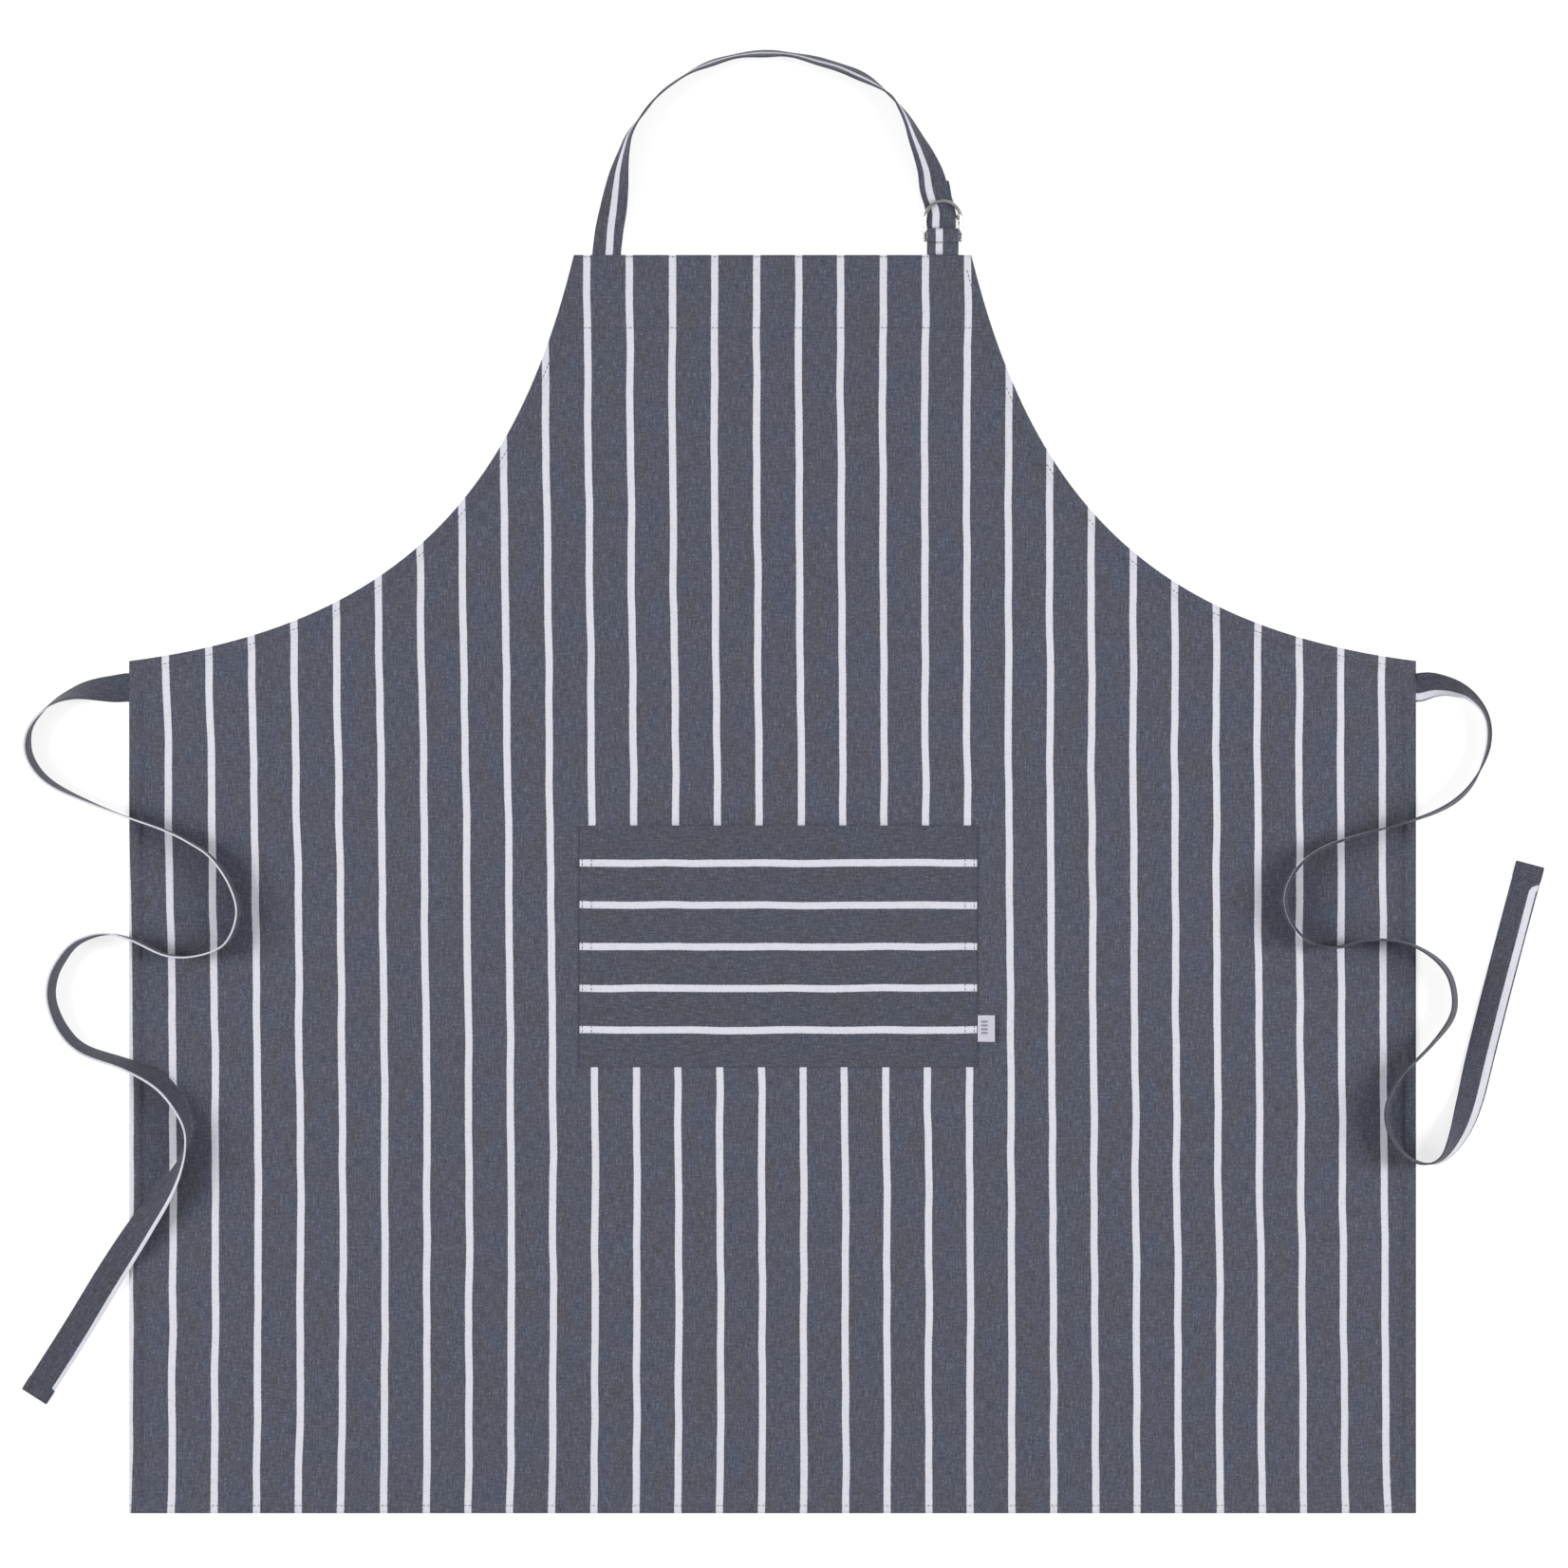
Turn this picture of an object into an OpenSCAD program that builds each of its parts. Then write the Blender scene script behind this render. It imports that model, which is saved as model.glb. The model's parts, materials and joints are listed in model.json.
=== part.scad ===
// Butcher apron, laid flat on its back.
// Origin: middle of the panel's back face.
// +X across the apron, +Y towards the bib and neck, +Z up from the cloth. All sizes are in millimetres.

/* [Panel] */
// Width across the skirt
panel_w = 900; // [750:10:1080]
// Length from the bib's top edge to the bottom hem
panel_l = 880; // [730:10:1060]
// Width of the bib along its top edge
bib_w = 278; // [250:2:334]
// Height of each armhole curve
armhole_h = 284; // [240:2:342]
// Thickness of one layer of cloth
cloth_t = 0.6; // [0.5:0.1:0.8]

/* [Hems] */
// Width of the double turned hems at the sides, bottom and armholes
hem_w = 8; // [7:1:12]
// Depth of the double turned hem across the top of the bib
bib_hem_d = 53; // [40:1:64]
// Distance from the finished edge to the hem stitching
stitch_in = 5.5; // [4:0.5:6]
// Distance from the bib's top edge to its edge stitching
edge_stitch_in = 1.5; // [1:0.5:3]

/* [Pocket] */
// Width of the patch pocket
pocket_w = 278; // [230:2:334]
// Height of the patch pocket
pocket_h = 169; // [140:1:203]
// Distance from the bib's top edge down to the pocket's mouth
pocket_drop = 399; // [340:1:440]
// Sideways place of the pocket's middle
pocket_x = 4; // [-10:1:10]
// Width of the flat margin that is sewn down
pocket_margin = 10; // [9:1:14]
// Width over which the pocket rises from its margin
pocket_rise_w = 25; // [20:1:40]
// Height of the space inside the pocket
pocket_gape = 6; // [5.5:0.5:10]
// Depth of the turned hem along the pocket's mouth
mouth_hem_d = 20; // [15:1:26]

/* [Label] */
// How far the label stands out of the pocket's seam
label_w = 12; // [9:1:16]
// Height of the label along the seam
label_h = 18.6; // [14:0.2:24]
// Distance from the pocket's bottom edge to the label's middle
label_rise = 27; // [20:1:40]

/* [Tapes] */
// Width of the neck strap and of the ties
tape_w = 20; // [16:0.5:22]
// Gap between the armhole's hem and the sewn end beside it
strap_margin = 1; // [1:0.5:8]
// Length of each strap that is sewn under the bib's top edge
strap_sewn = 20; // [16:1:26]
// Distance from the top of the side edge down to the middle of a tie
tie_drop = 18.5; // [18.5:0.5:30]

/* [Rings] */
// Wire thickness of the D-rings
wire_d = 2.4; // [2:0.1:2.8]
// Width inside a D-ring
ring_in_w = 22.6; // [22.6:0.2:26]
// Height of a D-ring over its wire
ring_l = 24; // [22:0.5:28]
// Width of the tape that holds the rings
holder_w = 22; // [18:0.5:22]
// Distance from the bib's top edge to the rear ring's bar
rear_bar_y = 10.2; // [9:0.1:12]
// Distance from the rear ring's bar to the front ring's bar along the apron
bar_step_y = 5.3; // [5:0.1:7]

/* [Hidden] */

cloth_dark = "#4c4e5e";
cloth_light = "#dedeea";
thread = "#262833";
metal = "#c9cbd0";

top_y = panel_l / 2;
bottom_y = -panel_l / 2;
half_w = panel_w / 2;
side_top_y = top_y - armhole_h;
hem_t = 2 * cloth_t;
tape_t = hem_t;
rim_z = hem_t;
rim_top_z = hem_t + cloth_t;
thread_w = 0.6;
thread_h = 0.3;
gap = 0.3;

// Armhole: one cubic curve from the bib's corner to the side's corner, as shares of its width and height
curve_steps = 24;
arm_w = (panel_w - bib_w) / 2;
arm_1 = [0.13, 0.585];
arm_2 = [0.39, 0.915];
function bezier(u) = 3 * u * (1 - u) * (1 - u) * arm_1 + 3 * u * u * (1 - u) * arm_2 + u * u * u * [1, 1];
function bezier_slope(u) =
    3 * (1 - u) * (1 - u) * arm_1 + 6 * u * (1 - u) * (arm_2 - arm_1) + 3 * u * u * ([1, 1] - arm_2);
function arm_point(u) = [bib_w / 2 + arm_w * bezier(u).x, top_y - armhole_h * bezier(u).y];
function arm_dir(u) = let (d = [arm_w * bezier_slope(u).x, -armhole_h * bezier_slope(u).y]) d / norm(d);
// Point that lies a distance inside the armhole's edge
function arm_inner(u, d) = arm_point(u) + d * [arm_dir(u).y, -arm_dir(u).x];
arm_curve = [for (i = [0:curve_steps]) arm_point(i / curve_steps)];

// Pocket
pocket_top = top_y - pocket_drop;
pocket_bottom = pocket_top - pocket_h;
pocket_z = cloth_t;
pocket_cloth_z = pocket_z + cloth_t;
pocket_crown_z = pocket_z + pocket_gape + cloth_t;
pocket_rows = [2, 8.3];

// Label
label_t = 0.6;
label_gap = 0.4;
label_hinge_x = pocket_x + pocket_w / 2 + label_gap;
label_hinge_z = pocket_cloth_z + cloth_t;
label_y = pocket_bottom + label_rise;

// Rings and their holder
wire_r = wire_d / 2;
ring_r = (ring_in_w + wire_d) / 2;
ring_arm = ring_l - 2 * wire_r - ring_r;
bar_clear = 0.3;
rear_bar = [top_y + rear_bar_y, tape_t + bar_clear + wire_r];
front_bar = [rear_bar.x + bar_step_y, rear_bar.y + wire_d + 0.2];
rear_arc_y = rear_bar.x + ring_arm + ring_r;
front_arc_y = front_bar.x + ring_arm + ring_r;
strap_over_z = rear_bar.y + wire_r + 0.2;
front_arc_z = strap_over_z + tape_t + 1.1 + wire_r;
front_tilt = asin((front_arc_z - front_bar.y) / (ring_arm + ring_r));

// Free tapes. Each point is [x, y, share of the riding height, lean].
// The share places the tape's lowest edge: 0 is the resting plane, and 1 clears what the tape rides over.
// Lean is 0 where the tape lies flat and 90 where it stands on edge.
strap_x = bib_w / 2 - hem_w - holder_w / 2 - strap_margin;
strap_mid_x = strap_x - 1;
strap_start_x = 3 - strap_x;
strap_points = [
    [-116, 440, 0, 0], [-116, 442, 0, 0], [-114, 458, 0, -8], [-111.4, 471, 0, -16], [-108.8, 486, 0, -34],
    [-106.6, 499, 0, -50], [-103.5, 512, 0, -66], [-100, 523, 0, -77], [-93, 534, 0, -84],
    [-82, 548, 0, -84], [-70, 558.5, 0, -82], [-50, 570, 0, -76], [-25, 577.8, 0, -72],
    [-3, 579.6, 0, -72], [13, 578.6, 0, -72], [34, 573.8, 0, -69], [56, 566.4, 0, -63],
    [71, 558.6, 0, -74], [83, 549.5, 0, -85], [90, 540.5, 0.16, -78], [95.5, 531, 0.28, -68],
    [100.5, 519.5, 0.38, -54], [105.5, 509, 0.42, -42], [109.8, 498, 0.5, -28]
];
// Last stretch, up to the rear ring: [x from the strap's middle, y from the ring's arc, share, lean]
strap_end_points = [[-5.2, 14, 0.66, -4], [-3, 7, 0.92, 0], [-1, 1.5, 1, 0], [0, -3, 1, 0]];
strap_route = concat(
    [for (p = strap_points) [p.x * strap_x / 119, p.y + top_y - 440, p.z * strap_over_z, p[3]]],
    [for (p = strap_end_points) [p.x + strap_mid_x, p.y + rear_arc_y, p.z * strap_over_z, p[3]]]
);

tie_y = side_top_y - tie_drop;
tie_sewn = hem_w - 2;
tie_over_z = rim_top_z + thread_h + 0.1;
left_tie_points = [
    [-450, 138, 0, 0], [-452, 138, 0, 0], [-460, 137, 0, 18], [-470, 136.5, 0, 36], [-480, 135.5, 0, 52],
    [-490, 133, 0, 68], [-500, 128.5, 0, 79], [-510, 120.5, 0.1, 86],
    [-517.5, 110.5, 0.1, 90], [-520, 99.5, 0.1, 96], [-518, 88.5, 0.1, 98], [-510, 76.5, 0.1, 98],
    [-496, 66.5, 0.3, 96], [-470, 55, 1, 90],
    [-449, 47, 1, 88], [-423, 38, 1, 90], [-406, 29.5, 1, 90], [-391, 19, 1, 90],
    [-378, 0, 1, 90], [-373, -20, 1, 90], [-381, -40.5, 1, 90], [-400, -49, 1, 90],
    [-422, -49, 1, 90], [-447, -38, 1, 90], [-466, -34, 0.8, 94], [-485, -40, 0.3, 98],
    [-496, -52, 0.1, 101], [-502.5, -66, 0.1, 102], [-503, -82, 0.1, 102], [-495, -101, 0.1, 105],
    [-480, -115, 0.6, 106], [-449, -126, 1, 110], [-424, -140, 1, 120], [-409.5, -164, 1, 103],
    [-409.5, -184, 1, 84], [-420, -208, 1, 56], [-440, -237, 1, 24], [-462, -271, 1, 6],
    [-489, -315, 0.1, 0], [-516.5, -358, 0.1, 0]
];
right_tie_points = [
    [450, 138, 0, 0], [452, 138, 0, 0], [460, 139.8, 0, 30], [469.5, 139, 0, 50], [478.5, 136.5, 0, 62],
    [486.5, 132.5, 0, 76], [494.5, 124.5, 0, 86], [499, 115, 0.1, 90], [500, 103, 0.1, 90],
    [497.5, 90, 0.1, 92], [490, 73.5, 0.1, 100], [478.5, 60.5, 0.5, 102],
    [461, 50.5, 1, 98],
    [434, 41.5, 1, 93], [410, 35, 1, 90], [385, 26.5, 1, 90], [367, 13, 1, 92], [358, -6, 1, 92],
    [361, -24, 1, 92], [373, -38.5, 1, 90], [392, -43.5, 1, 90], [414, -38.5, 1, 90],
    [438, -39.5, 1, 92], [457, -47.5, 1, 98], [471, -61, 0.5, 105], [476, -79, 0.1, 107],
    [473, -94, 0.3, 107], [459, -112, 0.96, 102], [439, -133, 1, 100],
    [428.5, -153, 1, 102], [430, -171.5, 1, 102], [440, -187, 1, 98], [453, -194, 1, 90],
    [466.5, -191, 1, 72], [478, -175, 0.4, 44], [487, -152, 0.1, 16], [495, -120, 0.1, 2],
    [510, -61, 0.1, 0], [530, 14.5, 0.1, 0]
];
function tie_route(points, side) = [
    for (p = points) [p.x + side * (half_w - 450), p.y + tie_y - 138, p.z * tie_over_z, p[3]]
];
left_tie_route = tie_route(left_tie_points, -1);
right_tie_route = tie_route(right_tie_points, 1);
left_root_end = 8;
right_root_end = 8;
tie_gap = 0.6;

// The tape's section: [share of width, share of thickness], round its two folded edges
tape_section = [
    [0.5, -0.25], [0.5, 0.25], [0.48, 0.5], [-0.48, 0.5],
    [-0.5, 0.25], [-0.5, -0.25], [-0.48, -0.5], [0.48, -0.5]
];

function heading(r, i) = let (
        a = r[max(i - 1, 0)],
        b = r[min(i + 1, len(r) - 1)],
        d = [b.x - a.x, b.y - a.y]
    ) d / norm(d);
function tape_ring(p, h) = let (
        across = [-h.y * cos(p[3]), h.x * cos(p[3]), sin(p[3])],
        out = [h.y * sin(p[3]), -h.x * sin(p[3]), cos(p[3])],
        mid = [p.x, p.y, p.z + tape_w / 2 * abs(sin(p[3])) + tape_t / 2 * abs(cos(p[3]))]
    ) [for (s = tape_section) mid + s.x * tape_w * across + s.y * tape_t * out];

// One tape swept from route point first to route point last
module tape(route, first, last, trim_start = 0) {
    n = len(tape_section);
    headings = [for (i = [first:last]) heading(route, i)];
    shift = trim_start * [headings[0].x, headings[0].y, 0, 0];
    starts = [for (i = [first:last]) route[i] + (i == first ? shift : [0, 0, 0, 0])];
    points = [for (i = [0:last - first]) each tape_ring(starts[i], headings[i])];
    // Both faces are split along the same diagonal, so a twisted tape keeps its thickness
    sides = [
        for (i = [0:last - first - 1])
            for (j = [0:n - 1])
                let (a = i * n + j, b = i * n + (j + 1) % n)
                    each (j < 4 ? [[a, b + n, b], [a, a + n, b + n]] : [[a, a + n, b], [b, a + n, b + n]])
    ];
    start_cap = [for (j = [0:n - 1]) j];
    end_cap = [for (j = [0:n - 1]) (last - first) * n + n - 1 - j];
    polyhedron(points, concat(sides, [start_cap, end_cap]), convexity = 10);
}

// Flat outlines
module panel_2d() {
    left = [for (i = [0:curve_steps]) [-arm_curve[i].x, arm_curve[i].y]];
    right = [for (i = [0:curve_steps]) arm_curve[curve_steps - i]];
    polygon(concat(left, [[-half_w, bottom_y], [half_w, bottom_y]], right));
}

module bib_hem_2d() {
    difference() {
        intersection() {
            panel_2d();
            translate([-half_w, top_y - bib_hem_d]) square([panel_w, bib_hem_d]);
        }
        armhole_band_2d(1);
        armhole_band_2d(-1);
    }
}

// Band of cloth along one armhole; side is 1 on the right and -1 on the left
module armhole_band_2d(side) {
    inner = [for (i = [0:curve_steps]) arm_inner((curve_steps - i) / curve_steps, hem_w)];
    shoulder = [[half_w, inner[0].y]];
    bib_end = [[arm_curve[0].x - hem_w, top_y]];
    all_points = concat(arm_curve, shoulder, inner, bib_end);
    polygon([for (p = all_points) [side * p.x, p.y]]);
}

module side_band_2d(side) {
    difference() {
        translate([side > 0 ? half_w - hem_w : -half_w, bottom_y + hem_w])
            square([hem_w, side_top_y - bottom_y - hem_w]);
        armhole_band_2d(side);
        outer_2d(side);
    }
}

// Everything above the armhole's edge on one side, which no cloth reaches
module outer_2d(side) {
    difference() {
        translate([side > 0 ? 0 : -half_w - 1, side_top_y - hem_w]) square([half_w + 1, armhole_h]);
        panel_2d();
    }
}

module bottom_band_2d() {
    translate([-half_w, bottom_y]) square([panel_w, hem_w]);
}

module field_2d() {
    difference() {
        panel_2d();
        bib_hem_2d();
        armhole_band_2d(1);
        armhole_band_2d(-1);
        side_band_2d(1);
        side_band_2d(-1);
        bottom_band_2d();
    }
}

module slab(z, t) {
    translate([0, 0, z]) linear_extrude(height = t) children();
}

// Body panel: the field lies on its back, and the rim rides over the turned hems
module body_panel() color(cloth_dark) {
    slab(0, cloth_t) field_2d();
    slab(0, rim_top_z) difference() {
        field_2d();
        offset(delta = -cloth_t) field_2d();
    }
    slab(rim_z, cloth_t) difference() {
        panel_2d();
        field_2d();
    }
}

module bib_hem() color(cloth_dark) {
    slab(0, hem_t) difference() {
        bib_hem_2d();
        translate([strap_start_x - tape_w / 2, top_y - strap_sewn]) square([tape_w, strap_sewn + 1]);
        translate([strap_x - holder_w / 2, top_y - strap_sewn]) square([holder_w, strap_sewn + 1]);
    }
}

module left_armhole_hem() color(cloth_dark) slab(0, hem_t) armhole_band_2d(-1);
module right_armhole_hem() color(cloth_dark) slab(0, hem_t) armhole_band_2d(1);

module side_hem(side) {
    slab(0, hem_t) difference() {
        side_band_2d(side);
        translate([side > 0 ? half_w - tie_sewn : -half_w - 1, tie_y - tape_w / 2])
            square([tie_sewn + 1, tape_w / 2 + tie_drop]);
    }
}
module left_side_hem() color(cloth_light) side_hem(-1);
module right_side_hem() color(cloth_dark) side_hem(1);
module bottom_hem() color(cloth_dark) slab(0, hem_t) bottom_band_2d();

// Outer surface of the pocket as a closed form: flat margins, a rise, and an open mouth at the top
module pocket_form(lower = 0) {
    base = pocket_cloth_z - (lower > 0 ? 2 : 0);
    rim = pocket_cloth_z + cloth_t - lower;
    crown = pocket_crown_z - lower;
    w = pocket_w / 2;
    foot = w - pocket_margin;
    shelf = foot - pocket_rise_w;
    across = [
        [-w, base], [-w, rim], [-foot, rim], [-shelf, crown],
        [shelf, crown], [foot, rim], [w, rim], [w, base]
    ];
    y0 = pocket_bottom;
    y1 = y0 + pocket_margin;
    y2 = y1 + pocket_rise_w;
    along = [[y0, base], [y0, rim], [y1, rim], [y2, crown], [pocket_top, crown], [pocket_top, base]];
    intersection() {
        translate([pocket_x, pocket_top, 0]) rotate([90, 0, 0])
            linear_extrude(height = pocket_h) polygon(across);
        translate([pocket_x - w, 0, 0]) rotate([90, 0, 90])
            linear_extrude(height = pocket_w) polygon(along);
    }
}

module pocket_band(y, depth, inset = 0) {
    translate([pocket_x - pocket_w / 2 + inset, y, pocket_z])
        cube([pocket_w - 2 * inset, depth, pocket_crown_z + 1]);
}

module pocket_panel() color(cloth_dark) {
    difference() {
        pocket_form();
        pocket_form(cloth_t);
    }
}

module pocket_mouth_hem() color(cloth_dark) {
    intersection() {
        difference() {
            pocket_form(cloth_t);
            pocket_form(3 * cloth_t);
        }
        pocket_band(pocket_top - mouth_hem_d, mouth_hem_d, pocket_margin);
    }
}

module pocket_turning(x, y, w, h) {
    translate([x, y, pocket_z]) cube([w, h, cloth_t]);
}
module pocket_left_turning() color(cloth_dark)
    pocket_turning(pocket_x - pocket_w / 2, pocket_bottom, pocket_margin, pocket_h);
module pocket_right_turning() color(cloth_dark)
    pocket_turning(pocket_x + pocket_w / 2 - pocket_margin, pocket_bottom, pocket_margin, pocket_h);
module pocket_bottom_turning() color(cloth_dark)
    pocket_turning(pocket_x - pocket_w / 2 + pocket_margin, pocket_bottom,
        pocket_w - 2 * pocket_margin, pocket_margin);

module label() color(cloth_light) {
    translate([label_hinge_x, label_y - label_h / 2, label_hinge_z - label_t / 2])
        cube([label_w, label_h, label_t]);
}

// Neck strap: sewn end, standing loop, then over the rear ring and back under it
module neck_strap() color(cloth_dark) {
    translate([strap_start_x - tape_w / 2, top_y - strap_sewn, 0]) cube([tape_w, strap_sewn, tape_t]);
    tape(strap_route, 0, len(strap_route) - 1);
    strap_fold();
}

// The strap's last stretch, seen from the side: over the rear ring's arc, round, and back beneath it
fold_y = rear_bar.x + bar_step_y + wire_r + bar_clear + tape_t + gap;
tail_turn_y = rear_arc_y - 7;
tail_lean = 10;
tail_l = 26;
module strap_fold() {
    over = strap_over_z + tape_t;
    drop_y = fold_y + over / 2;
    translate([strap_mid_x - tape_w / 2, 0, 0]) rotate([90, 0, 90]) linear_extrude(height = tape_w) {
        translate([rear_arc_y - 5, strap_over_z]) square([5, tape_t]);
        translate([drop_y, strap_over_z]) square([rear_arc_y - drop_y, tape_t]);
        translate([drop_y, over / 2]) difference() {
            circle(d = over, $fn = 32);
            circle(d = over - 2 * tape_t, $fn = 32);
            translate([0, -over]) square([over, 2 * over]);
        }
    }
    // The tail bends to stay hidden under the strap
    half = tape_w / 2;
    mitre = half * tan(tail_lean / 2);
    ahead = [-sin(tail_lean), cos(tail_lean)];
    tip = [0, tail_turn_y] + tail_l * ahead;
    side = [ahead.y, -ahead.x];
    translate([strap_mid_x, 0, 0]) linear_extrude(height = tape_t) polygon([
        [-half, drop_y], [-half, tail_turn_y - mitre], tip - half * side,
        tip + half * side, [half, tail_turn_y + mitre], [half, drop_y]
    ]);
}

// Folded tape that holds both rings by their bars
module ring_holder() color(cloth_dark) {
    clear_r = wire_r + bar_clear;
    translate([strap_x - holder_w / 2, 0, 0]) rotate([90, 0, 90]) linear_extrude(height = holder_w) {
        translate([top_y - strap_sewn, 0]) square([strap_sewn, tape_t]);
        difference() {
            hull() {
                translate(rear_bar) circle(r = clear_r + tape_t, $fn = 32);
                translate(front_bar) circle(r = clear_r + tape_t, $fn = 32);
                translate([top_y, 0]) square([0.5, tape_t]);
            }
            hull() {
                translate(rear_bar) circle(r = clear_r, $fn = 32);
                translate(front_bar) circle(r = clear_r, $fn = 32);
            }
        }
    }
}

// D-ring flat in its own plane, with its bar on the X axis through the origin
module d_ring() {
    rotate([0, 90, 0]) cylinder(r = wire_r, h = 2 * ring_r, center = true, $fn = 32);
    for (side = [-1, 1]) {
        translate([side * ring_r, 0, 0]) sphere(r = wire_r, $fn = 32);
        translate([side * ring_r, 0, 0]) rotate([-90, 0, 0])
            cylinder(r = wire_r, h = ring_arm, $fn = 32);
    }
    translate([0, ring_arm, 0]) rotate_extrude(angle = 180, $fn = 64)
        translate([ring_r, 0]) circle(r = wire_r, $fn = 32);
}
module rear_ring() color(metal) translate([strap_x, rear_bar.x, rear_bar.y]) d_ring();
module front_ring() color(metal)
    translate([strap_x, front_bar.x, front_bar.y]) rotate([front_tilt, 0, 0]) d_ring();

// Ties: the root is sewn under the side hem, and the rest swings on it
module tie_seam_end(x) {
    translate([x, tie_y - tape_w / 2, 0]) cube([tie_sewn, tape_w, tape_t]);
}
module left_tie_root() color(cloth_dark) {
    tie_seam_end(-half_w);
    tape(left_tie_route, 0, left_root_end);
}
module right_tie_root() color(cloth_dark) {
    tie_seam_end(half_w - tie_sewn);
    tape(right_tie_route, 0, right_root_end);
}
module left_tie() color(cloth_dark)
    tape(left_tie_route, left_root_end, len(left_tie_route) - 1, tie_gap);
module right_tie() color(cloth_dark)
    tape(right_tie_route, right_root_end, len(right_tie_route) - 1, tie_gap);

// Threads, as low ridges on the cloth
module seam(x, y, w, h, z) {
    translate([x, y, z]) cube([w, h, thread_h]);
}

module bib_hem_stitching() color(thread)
    slab(rim_top_z, thread_h) intersection() {
        bib_hem_2d();
        translate([-half_w, top_y - bib_hem_d + 2 - thread_w / 2]) square([panel_w, thread_w]);
    }

module bib_edge_stitching() color(thread)
    slab(rim_top_z, thread_h) intersection() {
        bib_hem_2d();
        translate([-half_w, top_y - edge_stitch_in - thread_w / 2]) square([panel_w, thread_w]);
    }

module armhole_stitching(side) {
    outer = [for (i = [0:curve_steps]) arm_inner(i / curve_steps, stitch_in - thread_w / 2)];
    inner = [for (i = [0:curve_steps]) arm_inner((curve_steps - i) / curve_steps, stitch_in + thread_w / 2)];
    slab(rim_top_z, thread_h) intersection() {
        polygon([for (p = concat(outer, inner)) [side * p.x, p.y]]);
        armhole_band_2d(side);
    }
}
module left_armhole_stitching() color(thread) armhole_stitching(-1);
module right_armhole_stitching() color(thread) armhole_stitching(1);

side_seam_l = side_top_y - bottom_y - 2 * hem_w;
module left_side_stitching() color(thread)
    seam(-half_w + stitch_in - thread_w / 2, bottom_y + hem_w, thread_w, side_seam_l, rim_top_z);
module right_side_stitching() color(thread)
    seam(half_w - stitch_in - thread_w / 2, bottom_y + hem_w, thread_w, side_seam_l, rim_top_z);
module bottom_hem_stitching() color(thread)
    seam(-half_w, bottom_y + stitch_in - thread_w / 2, panel_w, thread_w, rim_top_z);

pocket_seam_z = pocket_cloth_z + cloth_t;
module pocket_side_stitching(side) {
    for (row = pocket_rows)
        seam(pocket_x + side * (pocket_w / 2 - row) - thread_w / 2,
            pocket_bottom + pocket_rows[0] + thread_w, thread_w,
            pocket_h - pocket_rows[0] - 2 * thread_w, pocket_seam_z);
}
module pocket_left_stitching() color(thread) pocket_side_stitching(-1);
module pocket_right_stitching() color(thread) pocket_side_stitching(1);
module pocket_bottom_stitching() color(thread)
    seam(pocket_x - pocket_w / 2 + pocket_rows[0] - thread_w / 2,
        pocket_bottom + pocket_rows[0] - thread_w / 2,
        pocket_w - 2 * pocket_rows[0] + thread_w, thread_w, pocket_seam_z);
module pocket_mouth_stitching() color(thread)
    intersection() {
        difference() {
            translate([0, 0, thread_h]) pocket_form();
            pocket_form();
        }
        pocket_band(pocket_top - mouth_hem_d + 2, thread_w, pocket_margin);
    }

// Rectangle of stitching over a sewn end, on the face of the bib
module box_stitching(x, w) {
    inset = 3;
    across = w - 2 * inset;
    along = strap_sewn - 2 * inset;
    slab(rim_top_z, thread_h) translate([x - w / 2 + inset, top_y - strap_sewn + inset]) difference() {
        square([across, along]);
        translate([thread_w, thread_w]) square([across - 2 * thread_w, along - 2 * thread_w]);
    }
}
module strap_box_stitching() color(thread) box_stitching(strap_start_x, tape_w);
module holder_box_stitching() color(thread) box_stitching(strap_x, holder_w);

// Row of stitching across a tie, a little short of its end
end_stitch_in = 9;
module tie_end_stitching(route) {
    n = len(route) - 1;
    h = heading(route, n);
    p = route[n];
    translate([p.x, p.y, p.z + tape_t])
        rotate([0, 0, atan2(h.y, h.x)])
        translate([-end_stitch_in, -tape_w / 2 + 1, 0]) cube([thread_w, tape_w - 2, thread_h]);
}
module left_tie_end_stitching() color(thread) tie_end_stitching(left_tie_route);
module right_tie_end_stitching() color(thread) tie_end_stitching(right_tie_route);

body_panel();
bib_hem();
left_armhole_hem();
right_armhole_hem();
left_side_hem();
right_side_hem();
bottom_hem();
pocket_panel();
pocket_mouth_hem();
pocket_left_turning();
pocket_right_turning();
pocket_bottom_turning();
label();
neck_strap();
ring_holder();
rear_ring();
front_ring();
left_tie_root();
left_tie();
right_tie_root();
right_tie();
bib_hem_stitching();
bib_edge_stitching();
left_armhole_stitching();
right_armhole_stitching();
left_side_stitching();
right_side_stitching();
bottom_hem_stitching();
pocket_left_stitching();
pocket_right_stitching();
pocket_bottom_stitching();
pocket_mouth_stitching();
strap_box_stitching();
holder_box_stitching();
left_tie_end_stitching();
right_tie_end_stitching();
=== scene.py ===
"""Butcher apron laid flat: striped panel, patch pocket, neck strap with two D-rings, two waist ties."""

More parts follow.
